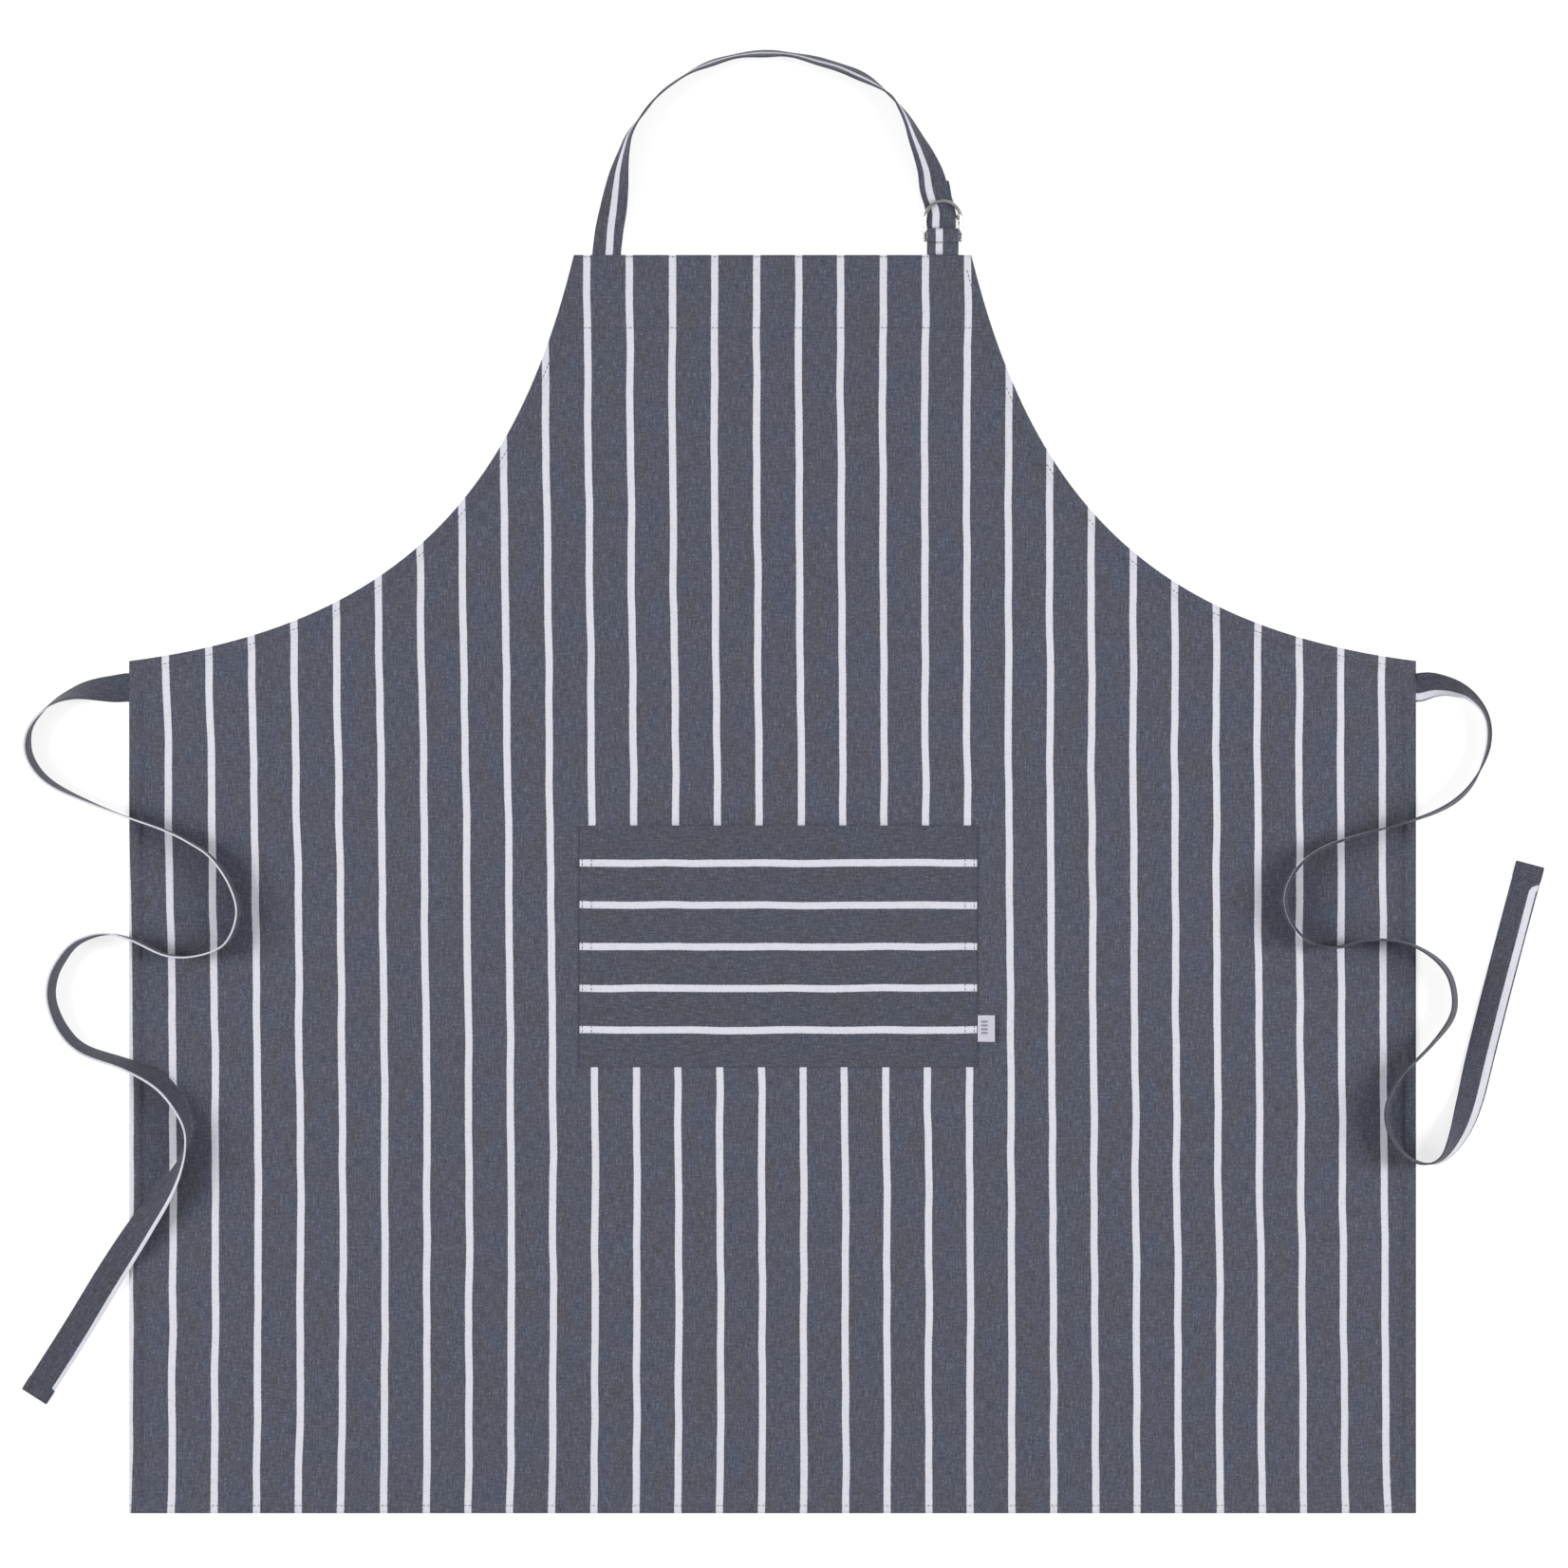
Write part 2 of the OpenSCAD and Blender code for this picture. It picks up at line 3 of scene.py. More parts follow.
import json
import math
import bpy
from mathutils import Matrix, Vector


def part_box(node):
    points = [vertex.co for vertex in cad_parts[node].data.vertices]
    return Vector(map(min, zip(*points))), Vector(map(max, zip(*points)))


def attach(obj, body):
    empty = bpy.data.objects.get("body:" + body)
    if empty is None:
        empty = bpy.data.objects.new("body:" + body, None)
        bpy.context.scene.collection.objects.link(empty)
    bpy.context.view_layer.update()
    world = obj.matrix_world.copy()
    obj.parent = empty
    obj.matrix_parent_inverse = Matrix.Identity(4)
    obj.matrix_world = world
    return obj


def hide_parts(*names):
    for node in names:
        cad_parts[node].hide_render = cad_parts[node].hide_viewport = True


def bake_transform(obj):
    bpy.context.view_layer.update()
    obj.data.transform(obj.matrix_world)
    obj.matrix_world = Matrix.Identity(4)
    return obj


bl_info = {
    "name": "Butcher Apron",
    "version": (1, 0, 0),
    "blender": (4, 5, 0),
    "location": "View3D > Sidebar > Apron",
    "description": "Makes a butcher apron's cloth, tapes, rings and stitching around its packed frame",
    "category": "Add Mesh",
}

import bpy
import numpy as np
from mathutils import Vector
from mathutils.geometry import delaunay_2d_cdt

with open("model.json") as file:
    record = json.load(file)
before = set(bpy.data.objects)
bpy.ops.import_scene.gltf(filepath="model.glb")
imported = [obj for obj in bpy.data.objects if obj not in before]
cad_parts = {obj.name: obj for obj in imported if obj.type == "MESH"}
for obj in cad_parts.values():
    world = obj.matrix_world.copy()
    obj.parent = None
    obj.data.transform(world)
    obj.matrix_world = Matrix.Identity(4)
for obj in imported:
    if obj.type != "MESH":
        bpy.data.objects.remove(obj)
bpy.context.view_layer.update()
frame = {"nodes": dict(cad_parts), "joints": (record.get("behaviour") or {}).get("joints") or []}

MM = 0.001
ROOT = "apron"

# Sizes and places that the frame holds
PANEL_LOW, PANEL_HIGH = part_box("body_panel")
BAND_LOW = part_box("right_armhole_hem")[0]
BOTTOM_HEM_LOW, BOTTOM_HEM_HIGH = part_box("bottom_hem")
POCKET_LOW, POCKET_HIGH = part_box("pocket_panel")
HEM_W = BOTTOM_HEM_HIGH.y - BOTTOM_HEM_LOW.y
HEM_T = BOTTOM_HEM_HIGH.z
CLOTH_T = HEM_T / 2
HALF_W = PANEL_HIGH.x
TOP_Y = PANEL_HIGH.y
BOTTOM_Y = PANEL_LOW.y
BIB_HALF = BAND_LOW.x + HEM_W
HEM_LINE_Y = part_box("bib_hem")[0].y
RIM_TOP = HEM_T + CLOTH_T

# Rows of stitches, from the edge of the cloth
SEAM_INSET = 5.5 * MM
POCKET_ROWS = (2 * MM, 8.3 * MM)
THREAD_RISE = 0.05 * MM

# The strap and the ties
SEWN_STEPS = 4
STRAP_SEWN = 20 * MM
STRAP_CLEARANCE = 0.2 * MM
STRAP_OFF_RINGS = 1 * MM
STRAP_TWIST = 3.0
TAIL_LEAN = math.radians(10)
TAIL_LENGTH = 26 * MM
TIE_SEWN = 6 * MM
TIE_END = 11 * MM
TIE_OVER = RIM_TOP + 0.4 * MM
BAR_CLEARANCE = 0.3 * MM

# The stage
CAMERA_X, CAMERA_Y = 0.008, 0.070
LIGHT_X, LIGHT_Y, LIGHT_Z = 2.6, 0.15, 1.9
LIGHT_SIZE = (0.8, 1.6)
SURROUND_STRENGTH = 0.45
FLOOR_Z = -0.3 * MM
FLOOR_REACH = 3


def linear(hex_code):
    """An sRGB hex colour as linear red, green, blue and alpha."""
    channels = [int(hex_code[i : i + 2], 16) / 255 for i in (1, 3, 5)]
    return tuple(c / 12.92 if c <= 0.04045 else ((c + 0.055) / 1.055) ** 2.4 for c in channels) + (1.0,)


# ---------------------------------------------------------------- settings


class ApronCloth(bpy.types.PropertyGroup):
    stripe_pitch: bpy.props.FloatProperty(
        name="Stripe pitch", description="Distance between stripes", default=29.15 * MM, unit="LENGTH"
    )
    stripe_width: bpy.props.FloatProperty(
        name="Stripe width", description="Width of a pale stripe", default=4.9 * MM, unit="LENGTH"
    )
    ground: bpy.props.FloatVectorProperty(
        name="Ground",
        description="Colour between the stripes",
        subtype="COLOR",
        size=4,
        default=linear("#4F515E"),
    )
    stripe: bpy.props.FloatVectorProperty(
        name="Stripe",
        description="Colour of the stripes",
        subtype="COLOR",
        size=4,
        default=linear("#D6D6E0"),
    )
    thread: bpy.props.FloatVectorProperty(
        name="Thread",
        description="Colour of the sewing thread",
        subtype="COLOR",
        size=4,
        default=linear("#54555F"),
    )
    ripple: bpy.props.FloatProperty(
        name="Ripple", description="Height of the cloth's low waves", default=0.7 * MM, unit="LENGTH"
    )
    armhole_depth: bpy.props.FloatProperty(
        name="Armhole depth",
        description="Height of each armhole curve",
        default=round(TOP_Y - BAND_LOW.y - HEM_W, 3),
        unit="LENGTH",
    )


class ApronPocket(bpy.types.PropertyGroup):
    crown: bpy.props.FloatProperty(
        name="Crown",
        description="How far the middle of the mouth stands up",
        default=2.6 * MM,
        unit="LENGTH",
    )
    margin: bpy.props.FloatProperty(
        name="Margin", description="Width of the edge that is sewn down", default=10 * MM, unit="LENGTH"
    )
    label: bpy.props.FloatVectorProperty(
        name="Label",
        description="Colour of the label's ground",
        subtype="COLOR",
        size=4,
        default=linear("#C9C6D6"),
    )


class ApronTapes(bpy.types.PropertyGroup):
    width: bpy.props.FloatProperty(
        name="Width", description="Width of the neck strap and ties", default=20 * MM, unit="LENGTH"
    )
    thickness: bpy.props.FloatProperty(
        name="Thickness", description="Thickness of a folded tape", default=HEM_T, unit="LENGTH"
    )
    metal: bpy.props.FloatVectorProperty(
        name="Rings",
        description="Colour of the rings' plating",
        subtype="COLOR",
        size=4,
        default=linear("#C4C3BF"),
    )


class ApronStitches(bpy.types.PropertyGroup):
    pitch: bpy.props.FloatProperty(
        name="Stitch pitch",
        description="Distance from one stitch to the next",
        default=3.2 * MM,
        unit="LENGTH",
    )
    length: bpy.props.FloatProperty(
        name="Stitch length", description="Length of thread that shows", default=2.6 * MM, unit="LENGTH"
    )
    radius: bpy.props.FloatProperty(
        name="Thread radius", description="Radius of the thread", default=0.28 * MM, unit="LENGTH"
    )


class ApronStage(bpy.types.PropertyGroup):
    camera_height: bpy.props.FloatProperty(
        name="Camera height", description="Height of the camera above the cloth", default=3.5, unit="LENGTH"
    )
    view_width: bpy.props.FloatProperty(
        name="View width", description="Width of floor that the camera sees", default=1.097, unit="LENGTH"
    )
    light_power: bpy.props.FloatProperty(
        name="Light power", description="Power of each soft light", default=59.0, unit="POWER"
    )
    floor: bpy.props.FloatVectorProperty(
        name="Floor", description="Colour of the floor", subtype="COLOR", size=4, default=linear("#F8F8F8")
    )


# ---------------------------------------------------------------- materials


def add_node(tree, kind, settings=None, inputs=None):
    """Adds a node, sets its properties, and links or sets its inputs."""
    node = tree.nodes.new(kind)
    for key, value in (settings or {}).items():
        setattr(node, key, value)
    for key, value in (inputs or {}).items():
        if isinstance(value, bpy.types.NodeSocket):
            tree.links.new(value, node.inputs[key])
        else:
            node.inputs[key].default_value = value
    return node


def math_node(tree, operation, *values):
    node = add_node(tree, "ShaderNodeMath", {"operation": operation}, dict(enumerate(values)))
    return node.outputs[0]


def ramp_node(tree, factor, stops):
    """A colour ramp through the given places and colours."""
    node = add_node(tree, "ShaderNodeValToRGB", None, {"Fac": factor})
    while len(node.color_ramp.elements) < len(stops):
        node.color_ramp.elements.new(0.5)
    for element, (place, colour) in zip(node.color_ramp.elements, stops):
        element.position = place
        element.color = colour
    return node.outputs["Color"]


def mix_colour(tree, factor, a, b, blend="MIX"):
    node = add_node(tree, "ShaderNodeMix", {"data_type": "RGBA", "blend_type": blend})
    for socket, value in ((node.inputs[0], factor), (node.inputs[6], a), (node.inputs[7], b)):
        if isinstance(value, bpy.types.NodeSocket):
            tree.links.new(value, socket)
        else:
            socket.default_value = value
    return node.outputs[2]


def stretched_noise(tree, across, along, across_mm, along_mm, detail=2.0):
    """Noise whose grains are about that many millimetres long each way."""
    vector = add_node(
        tree,
        "ShaderNodeCombineXYZ",
        None,
        {0: math_node(tree, "DIVIDE", across, across_mm), 1: math_node(tree, "DIVIDE", along, along_mm)},
    )
    node = add_node(
        tree,
        "ShaderNodeTexNoise",
        {"noise_dimensions": "2D"},
        {"Vector": vector.outputs[0], "Scale": 1.0, "Detail": detail, "Roughness": 0.6},
    )
    return node.outputs["Fac"]


def new_material(name):
    material = bpy.data.materials.new(name)
    material.use_nodes = True
    material.node_tree.nodes.clear()
    return material, material.node_tree


def finish_material(tree, shader_inputs, height=None, depth=0.1 * MM, strength=0.5):
    """Principled surface, with a bump where a height is given."""
    if height is not None:
        bump = add_node(
            tree, "ShaderNodeBump", None, {"Strength": strength, "Distance": depth, "Height": height}
        )
        shader_inputs = dict(shader_inputs, Normal=bump.outputs[0])
    shader = add_node(tree, "ShaderNodeBsdfPrincipled", None, shader_inputs)
    add_node(tree, "ShaderNodeOutputMaterial", None, {"Surface": shader.outputs[0]})


def shade(colour, factor):
    """The same colour, lighter or darker."""
    return tuple(min(1.0, c * factor) for c in colour[:3]) + (1.0,)


def striped_cotton(name, first_stripe, turned=False, on_tape=False, wander=0.5, depth=1.0):
    """Yarn-dyed cotton drill: dark heathered yarns with slubs, pale stripes woven in, dry and almost dull.

    Each piece's cloth map holds its places on the flat cloth. Stripes run up the map, or across it if turned.
    """
    cloth = bpy.context.scene.apron_cloth
    material, tree = new_material(name)
    place = add_node(tree, "ShaderNodeUVMap", {"uv_map": "cloth"}).outputs[0]
    in_mm = add_node(tree, "ShaderNodeVectorMath", {"operation": "SCALE"}, {0: place, "Scale": 1000.0})
    split = add_node(tree, "ShaderNodeSeparateXYZ", None, {0: in_mm.outputs[0]})
    across = split.outputs[1 if turned else 0]
    along = split.outputs[0 if turned else 1]

    # The stripes wander a little, as woven cloth does when it lies loose
    bend = stretched_noise(tree, across, along, 90.0, 60.0, 1.0)
    bend = math_node(tree, "MULTIPLY", math_node(tree, "SUBTRACT", bend, 0.5), 4 * wander)
    placed = math_node(tree, "ADD", across, bend)
    # A tape is cut so that it shows one stripe only
    pitch = (3 if on_tape else 1) * cloth.stripe_pitch / MM
    from_stripe = math_node(tree, "SUBTRACT", placed, first_stripe)
    from_stripe = math_node(tree, "ABSOLUTE", math_node(tree, "WRAP", from_stripe, pitch / 2, -pitch / 2))
    fray = stretched_noise(tree, across, along, 0.8, 1.4)
    fray = math_node(tree, "MULTIPLY", math_node(tree, "SUBTRACT", fray, 0.5), 0.7)
    edge = cloth.stripe_width / MM / 2
    stripe_mask = add_node(
        tree,
        "ShaderNodeMapRange",
        {"interpolation_type": "SMOOTHSTEP"},
        {0: math_node(tree, "ADD", from_stripe, fray), 1: edge - 0.35, 2: edge + 0.35, 3: 1.0, 4: 0.0},
    ).outputs[0]

    # Yarns are 0.4 mm apart, too fine to show, so their slubs are drawn about a millimetre wide
    warp = stretched_noise(tree, across, along, 1.0, 9.0, 3.0)
    weft = stretched_noise(tree, across, along, 7.0, 1.1, 3.0)
    grain = stretched_noise(tree, across, along, 1.5, 1.5, 4.0)
    warp = math_node(tree, "MULTIPLY", warp, 0.36)
    yarn = math_node(tree, "ADD", warp, math_node(tree, "MULTIPLY", weft, 0.24))
    yarn = math_node(tree, "ADD", yarn, math_node(tree, "MULTIPLY", grain, 0.4))
    tones = ((0.32, 0.45), (0.44, 0.8), (0.54, 1.08), (0.66, 1.9))
    # A depth below one scales the whole ground darker: painted shade on the pocket, strap and ties, which are
    # cut from this same cloth
    dark_ground = ramp_node(tree, yarn, [(at, shade(cloth.ground, tone * depth)) for at, tone in tones])
    # The dye is uneven, from bluish to brownish, in patches a few centimetres wide
    patches = stretched_noise(tree, across, along, 19.0, 34.0, 4.0)
    tints = [(0.36, (1.0, 0.96, 0.9, 1)), (0.5, (1, 1, 1, 1)), (0.64, (0.95, 1.0, 1.04, 1))]
    tint = ramp_node(tree, patches, tints)
    dark_ground = mix_colour(tree, 1.0, dark_ground, tint, "MULTIPLY")
    pale = ramp_node(tree, yarn, [(0.34, shade(cloth.stripe, 0.84)), (0.52, cloth.stripe)])
    colour = mix_colour(tree, stripe_mask, dark_ground, pale)

    height = math_node(tree, "ADD", yarn, math_node(tree, "MULTIPLY", patches, 0.3))
    finish_material(
        tree,
        {
            "Base Color": colour,
            "Roughness": 0.88,
            "Specular IOR Level": 0.25,
            "Sheen Weight": 0.12,
            "Sheen Roughness": 0.6,
        },
        height,
        0.35 * MM,
        0.55,
    )
    return material


def sewing_thread():
    """Twisted polyester thread: fine plies across each stitch, with a slight shine."""
    cloth = bpy.context.scene.apron_cloth
    material, tree = new_material("Polyester_Thread")
    place = add_node(tree, "ShaderNodeTexCoord").outputs["Object"]
    wave = {"Vector": place, "Scale": 900.0, "Distortion": 1.0}
    plies = add_node(tree, "ShaderNodeTexWave", {"bands_direction": "DIAGONAL"}, wave).outputs["Fac"]
    colour = ramp_node(tree, plies, [(0.2, shade(cloth.thread, 0.75)), (0.8, shade(cloth.thread, 1.1))])
    surface = {"Base Color": colour, "Roughness": 0.6, "Sheen Weight": 0.1}
    finish_material(tree, surface, plies, 0.05 * MM, 0.4)
    return material


def nickel_plate():
    """Bright nickel on steel wire: warm grey mirror, with faint handling marks."""
    material, tree = new_material("Bright_Nickel_Plate")
    place = add_node(tree, "ShaderNodeTexCoord").outputs["Object"]
    noise = {"Vector": place, "Scale": 420.0, "Detail": 4.0, "Roughness": 0.6}
    marks = add_node(tree, "ShaderNodeTexNoise", None, noise).outputs["Fac"]
    span = {0: marks, 1: 0.35, 2: 0.7, 3: 0.12, 4: 0.3}
    rough = add_node(tree, "ShaderNodeMapRange", None, span).outputs[0]
    tone = bpy.context.scene.apron_tapes.metal
    colour = ramp_node(tree, marks, [(0.3, shade(tone, 0.85)), (0.6, tone)])
    surface = {"Base Color": colour, "Metallic": 1.0, "Roughness": rough}
    finish_material(tree, surface, marks, 0.03 * MM, 0.25)
    return material


def woven_label(low, high):
    """Damask-woven label: fine satin ribs on a lilac-grey ground, with a plain darker block in bars."""
    material, tree = new_material("Damask_Label")
    place = add_node(tree, "ShaderNodeTexCoord").outputs["Object"]
    in_mm = add_node(tree, "ShaderNodeVectorMath", {"operation": "SCALE"}, {0: place, "Scale": 1000.0})
    split = add_node(tree, "ShaderNodeSeparateXYZ", None, {0: in_mm.outputs[0]})
    x, y = split.outputs[0], split.outputs[1]
    middle_x = (low.x + high.x) / 2 / MM
    middle_y = (low.y + high.y) / 2 / MM

    def inside(value, centre, half, soft=0.25):
        reach = math_node(tree, "ABSOLUTE", math_node(tree, "SUBTRACT", value, centre))
        inputs = {0: reach, 1: half - soft, 2: half + soft, 3: 1.0, 4: 0.0}
        return add_node(tree, "ShaderNodeMapRange", None, inputs).outputs[0]

    block = math_node(tree, "MULTIPLY", inside(x, middle_x - 1.3, 2.3), inside(y, middle_y + 0.6, 5.6))
    # Ribs are 0.3 mm apart, too fine to show, so they are drawn at 0.9 mm
    wave = {"Vector": in_mm.outputs[0], "Scale": 0.35, "Distortion": 0.6}
    ribs = add_node(tree, "ShaderNodeTexWave", {"bands_direction": "Y"}, wave).outputs["Fac"]
    bars = math_node(tree, "SINE", math_node(tree, "MULTIPLY", y, 2.4))
    bars = math_node(tree, "GREATER_THAN", bars, -0.35)
    block = math_node(tree, "MULTIPLY", block, bars)
    tone = bpy.context.scene.apron_pocket.label
    ground = ramp_node(tree, ribs, [(0.0, shade(tone, 0.86)), (1.0, shade(tone, 1.06))])
    colour = mix_colour(tree, block, ground, linear("#8A869C"))
    surface = {"Base Color": colour, "Roughness": 0.5, "Sheen Weight": 0.3}
    finish_material(tree, surface, ribs, 0.12 * MM, 0.5)
    return material


def studio_floor():
    """Matt white paper sweep with a fine tooth."""
    material, tree = new_material("White_Paper_Sweep")
    place = add_node(tree, "ShaderNodeTexCoord").outputs["Object"]
    noise = {"Vector": place, "Scale": 600.0, "Detail": 2.0}
    tooth = add_node(tree, "ShaderNodeTexNoise", None, noise).outputs["Fac"]
    tone = bpy.context.scene.apron_stage.floor
    colour = ramp_node(tree, tooth, [(0.3, shade(tone, 0.5)), (0.7, shade(tone, 0.51))])
    glow = {"Emission Color": tone, "Emission Strength": 0.72}
    finish_material(tree, {"Base Color": colour, "Roughness": 0.95, "Specular IOR Level": 0.1, **glow})
    return material


# ---------------------------------------------------------------- shapes


def leaning_stripes(x, y):
    """Places on the flat cloth for places on the apron, as the laid cloth leans by a few millimetres."""
    u, v = x / HALF_W, y / TOP_Y
    lean = v * (-3.5 + 2.7 * u - 0.6 * u * u + 1.8 * v * v + v * (4.1 * u - 0.4)) + u * u * (1.6 * u - 3.6)
    return x - lean * MM, y


def mesh_piece(name, vertices, faces, material, body=ROOT, uvs=None, smooth=True):
    """A mesh object with its place in its mesh, riding on a body."""
    mesh = bpy.data.meshes.new(name)
    mesh.from_pydata([tuple(v) for v in vertices], [], faces)
    if uvs is not None:
        layer = mesh.uv_layers.new(name="cloth")
        layer.data.foreach_set("uv", np.array(uvs, np.float32).ravel())
    mesh.materials.append(material)
    if smooth:
        mesh.shade_smooth()
    mesh.validate()
    piece = bpy.data.objects.new(name, mesh)
    bpy.context.scene.collection.objects.link(piece)
    if body is not None:
        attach(piece, body)
    return piece


def stand_in(piece, slot, *nodes):
    """Hides the CAD nodes that a piece stands in for. Neither piece nor slot is used."""
    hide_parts(*nodes)


def smooth_step(value, low, high):
    t = np.clip((value - low) / (high - low), 0, 1)
    return t * t * (3 - 2 * t)


def resample(points, spacing):
    """A closed outline with points about that far apart, its corners kept."""
    result = []
    for a, b in zip(points, np.roll(points, -1, axis=0)):
        count = max(1, int(round(np.linalg.norm(b - a) / spacing)))
        result += [a + (b - a) * i / count for i in range(count)]
    return np.array(result)


def enclosed_area(outline):
    """Area inside a closed outline, below nothing where it runs clockwise."""
    x, y = outline[:, 0], outline[:, 1]
    return 0.5 * np.sum(x * np.roll(y, -1) - np.roll(x, -1) * y)


def edge_distance(points, outline):
    """Distance of each point from a closed outline."""
    nearest = np.full(len(points), 1e9)
    for a, b in zip(outline, np.roll(outline, -1, axis=0)):
        side = b - a
        t = np.clip(((points - a) @ side) / (side @ side), 0, 1)
        nearest = np.minimum(nearest, np.linalg.norm(points - a - t[:, None] * side, axis=1))
    return nearest


def is_inside(points, outline):
    crossings = np.zeros(len(points), bool)
    for a, b in zip(outline, np.roll(outline, -1, axis=0)):
        spans = (a[1] > points[:, 1]) != (b[1] > points[:, 1])
        if spans.any():
            x = a[0] + (points[:, 1] - a[1]) * (b[0] - a[0]) / (b[1] - a[1] + 1e-15)
            crossings ^= spans & (points[:, 0] < x)
    return crossings


def cloth_plate(name, outline, spacing, loops, heights, material, body=ROOT, extra=None, lie=None):
    """A closed sheet of cloth over a flat outline.

    loops are distances inside the edge that get their own points. heights takes x, y and the distance from
    the edge, and gives the cloth's low and high surfaces there. lie gives places on the flat cloth.
    """
    outline = np.array(outline, float)
    if enclosed_area(outline) < 0:
        outline = outline[::-1]
    rim = resample(outline, spacing)
    ahead = np.roll(rim, -1, axis=0) - rim
    ahead /= np.linalg.norm(ahead, axis=1)[:, None]
    direction = ahead + np.roll(ahead, 1, axis=0)
    direction /= np.linalg.norm(direction, axis=1)[:, None]
    inward = np.stack([-direction[:, 1], direction[:, 0]], axis=1)
    groups = [rim]
    for reach in loops:
        moved = rim + inward * reach
        groups.append(moved[edge_distance(moved, rim) > reach * 0.98])
    low, high = rim.min(0), rim.max(0)
    xs = np.arange(low[0] + spacing / 2, high[0], spacing)
    ys = np.arange(low[1] + spacing / 2, high[1], spacing)
    grid = np.array([(x, y) for y in ys for x in xs]).reshape(-1, 2)
    if extra is not None:
        grid = np.vstack([grid, extra])
    if len(grid):
        grid = grid[is_inside(grid, rim)]
        grid = grid[edge_distance(grid, rim) > (loops[-1] if loops else 0) + spacing * 0.45]
        groups.append(grid)
    flat = np.vstack(groups)
    found = delaunay_2d_cdt([Vector(p) for p in flat], [], [list(range(len(rim)))], 1, 1e-7)
    flat = np.array([tuple(v) for v in found[0]])
    triangles = [list(f) for f in found[2]]
    count = len(flat)
    bottom, top = heights(flat[:, 0], flat[:, 1], edge_distance(flat, rim))
    vertices = np.vstack([np.column_stack([flat, top]), np.column_stack([flat, bottom])])
    sides = {}
    for f in triangles:
        for a, b in zip(f, f[1:] + f[:1]):
            sides[(a, b)] = sides.get((a, b), 0) + 1
    walls = [[b, a, a + count, b + count] for a, b in sides if (b, a) not in sides]
    faces = triangles + [[i + count for i in reversed(f)] for f in triangles] + walls
    u, v = lie(flat[:, 0], flat[:, 1]) if lie else (flat[:, 0], flat[:, 1])
    places = np.tile(np.column_stack([u, v]), (2, 1))
    uvs = places[np.concatenate([np.array(f) for f in faces])]
    return mesh_piece(name, vertices, faces, material, body, uvs)


def sweep(name, centres, across, width, thickness, material, body=ROOT, stripe_shift=None, end_block=0.0):
    """A folded tape swept along a line: across is its width's direction at each point.

    Its cloth map gives the length along the tape, and the place round it: from minus to plus half a width on
    the first face, then round the fold and over the second face. stripe_shift moves the stripe sideways, and
    end_block is the length of a turned and stitched end.
    """
    centres, across = np.array(centres, float), np.array(across, float)
    ahead = np.gradient(centres, axis=0)
    ahead /= np.linalg.norm(ahead, axis=1)[:, None]
    across -= ahead * np.sum(across * ahead, axis=1)[:, None]
    across /= np.linalg.norm(across, axis=1)[:, None]
    out = np.cross(ahead, across)
    step = np.linalg.norm(np.diff(centres, axis=0), axis=1)
    length = np.concatenate([[0], np.cumsum(step)])
    half_t = thickness / 2
    flat = width / 2 - half_t
    flat_steps, fold_steps = 6, 4
    section = []
    for face in (1, -1):
        section += [(face * flat * (2 * i / flat_steps - 1), face * half_t) for i in range(flat_steps + 1)]
        turns = [math.pi * i / fold_steps for i in range(1, fold_steps)]
        section += [(face * (flat + half_t * math.sin(t)), face * half_t * math.cos(t)) for t in turns]
    section = np.array(section)
    count = len(section)
    around = np.linalg.norm(np.roll(section, -1, axis=0) - section, axis=1)
    place = np.concatenate([[0], np.cumsum(around)]) - flat
    thick, wide = np.ones(len(centres)), np.ones(len(centres))
    if end_block:
        at_end = smooth_step(length, length[-1] - end_block - 0.3 * MM, length[-1] - end_block + 0.3 * MM)
        thick += 0.6 * at_end
        wide += 0.03 * at_end
    for edge in (0, -1):
        thick[edge] *= 0.75
        wide[edge] *= 0.985
    vertices = []
    for i, centre in enumerate(centres):
        rise = out[i] * half_t * max(0.0, thick[i] - 1)
        offsets = np.outer(section[:, 0] * wide[i], across[i]) + np.outer(section[:, 1] * thick[i], out[i])
        vertices += list(centre + rise + offsets)
    shift = np.zeros(len(centres)) if stripe_shift is None else stripe_shift(length)
    faces, uvs = [], []
    for i in range(len(centres) - 1):
        for j in range(count):
            a, b = i * count + j, i * count + (j + 1) % count
            faces.append([a, a + count, b + count, b])
            uvs += [
                (length[i], place[j] + shift[i]),
                (length[i + 1], place[j] + shift[i + 1]),
                (length[i + 1], place[j + 1] + shift[i + 1]),
                (length[i], place[j + 1] + shift[i]),
            ]
    last = (len(centres) - 1) * count
    faces.append(list(range(count)))
    uvs += [(0.0, place[j] + shift[0]) for j in range(count)]
    faces.append([last + j for j in reversed(range(count))])
    uvs += [(length[-1], place[j] + shift[-1]) for j in reversed(range(count))]
    return mesh_piece(name, vertices, faces, material, body, uvs), float(length[-1])


def spline(points, spacing):
    """Points about that far apart on a smooth curve through the given ones, whatever each one holds."""
    points = np.array(points, float)
    before = 2 * points[0] - points[1]
    after = 2 * points[-1] - points[-2]
    padded = np.vstack([before, points, after])
    result = []
    for i in range(1, len(padded) - 2):
        a, b, c, d = padded[i - 1 : i + 3]
        count = max(2, int(round(np.linalg.norm((c - b)[:2]) / spacing)))
        for k in range(count):
            t = k / count
            result.append(
                0.5
                * (
                    2 * b
                    + (c - a) * t
                    + (2 * a - 5 * b + 4 * c - d) * t * t
                    + (3 * b - a - 3 * c + d) * t * t * t
                )
            )
    result.append(points[-1])
    return np.array(result)


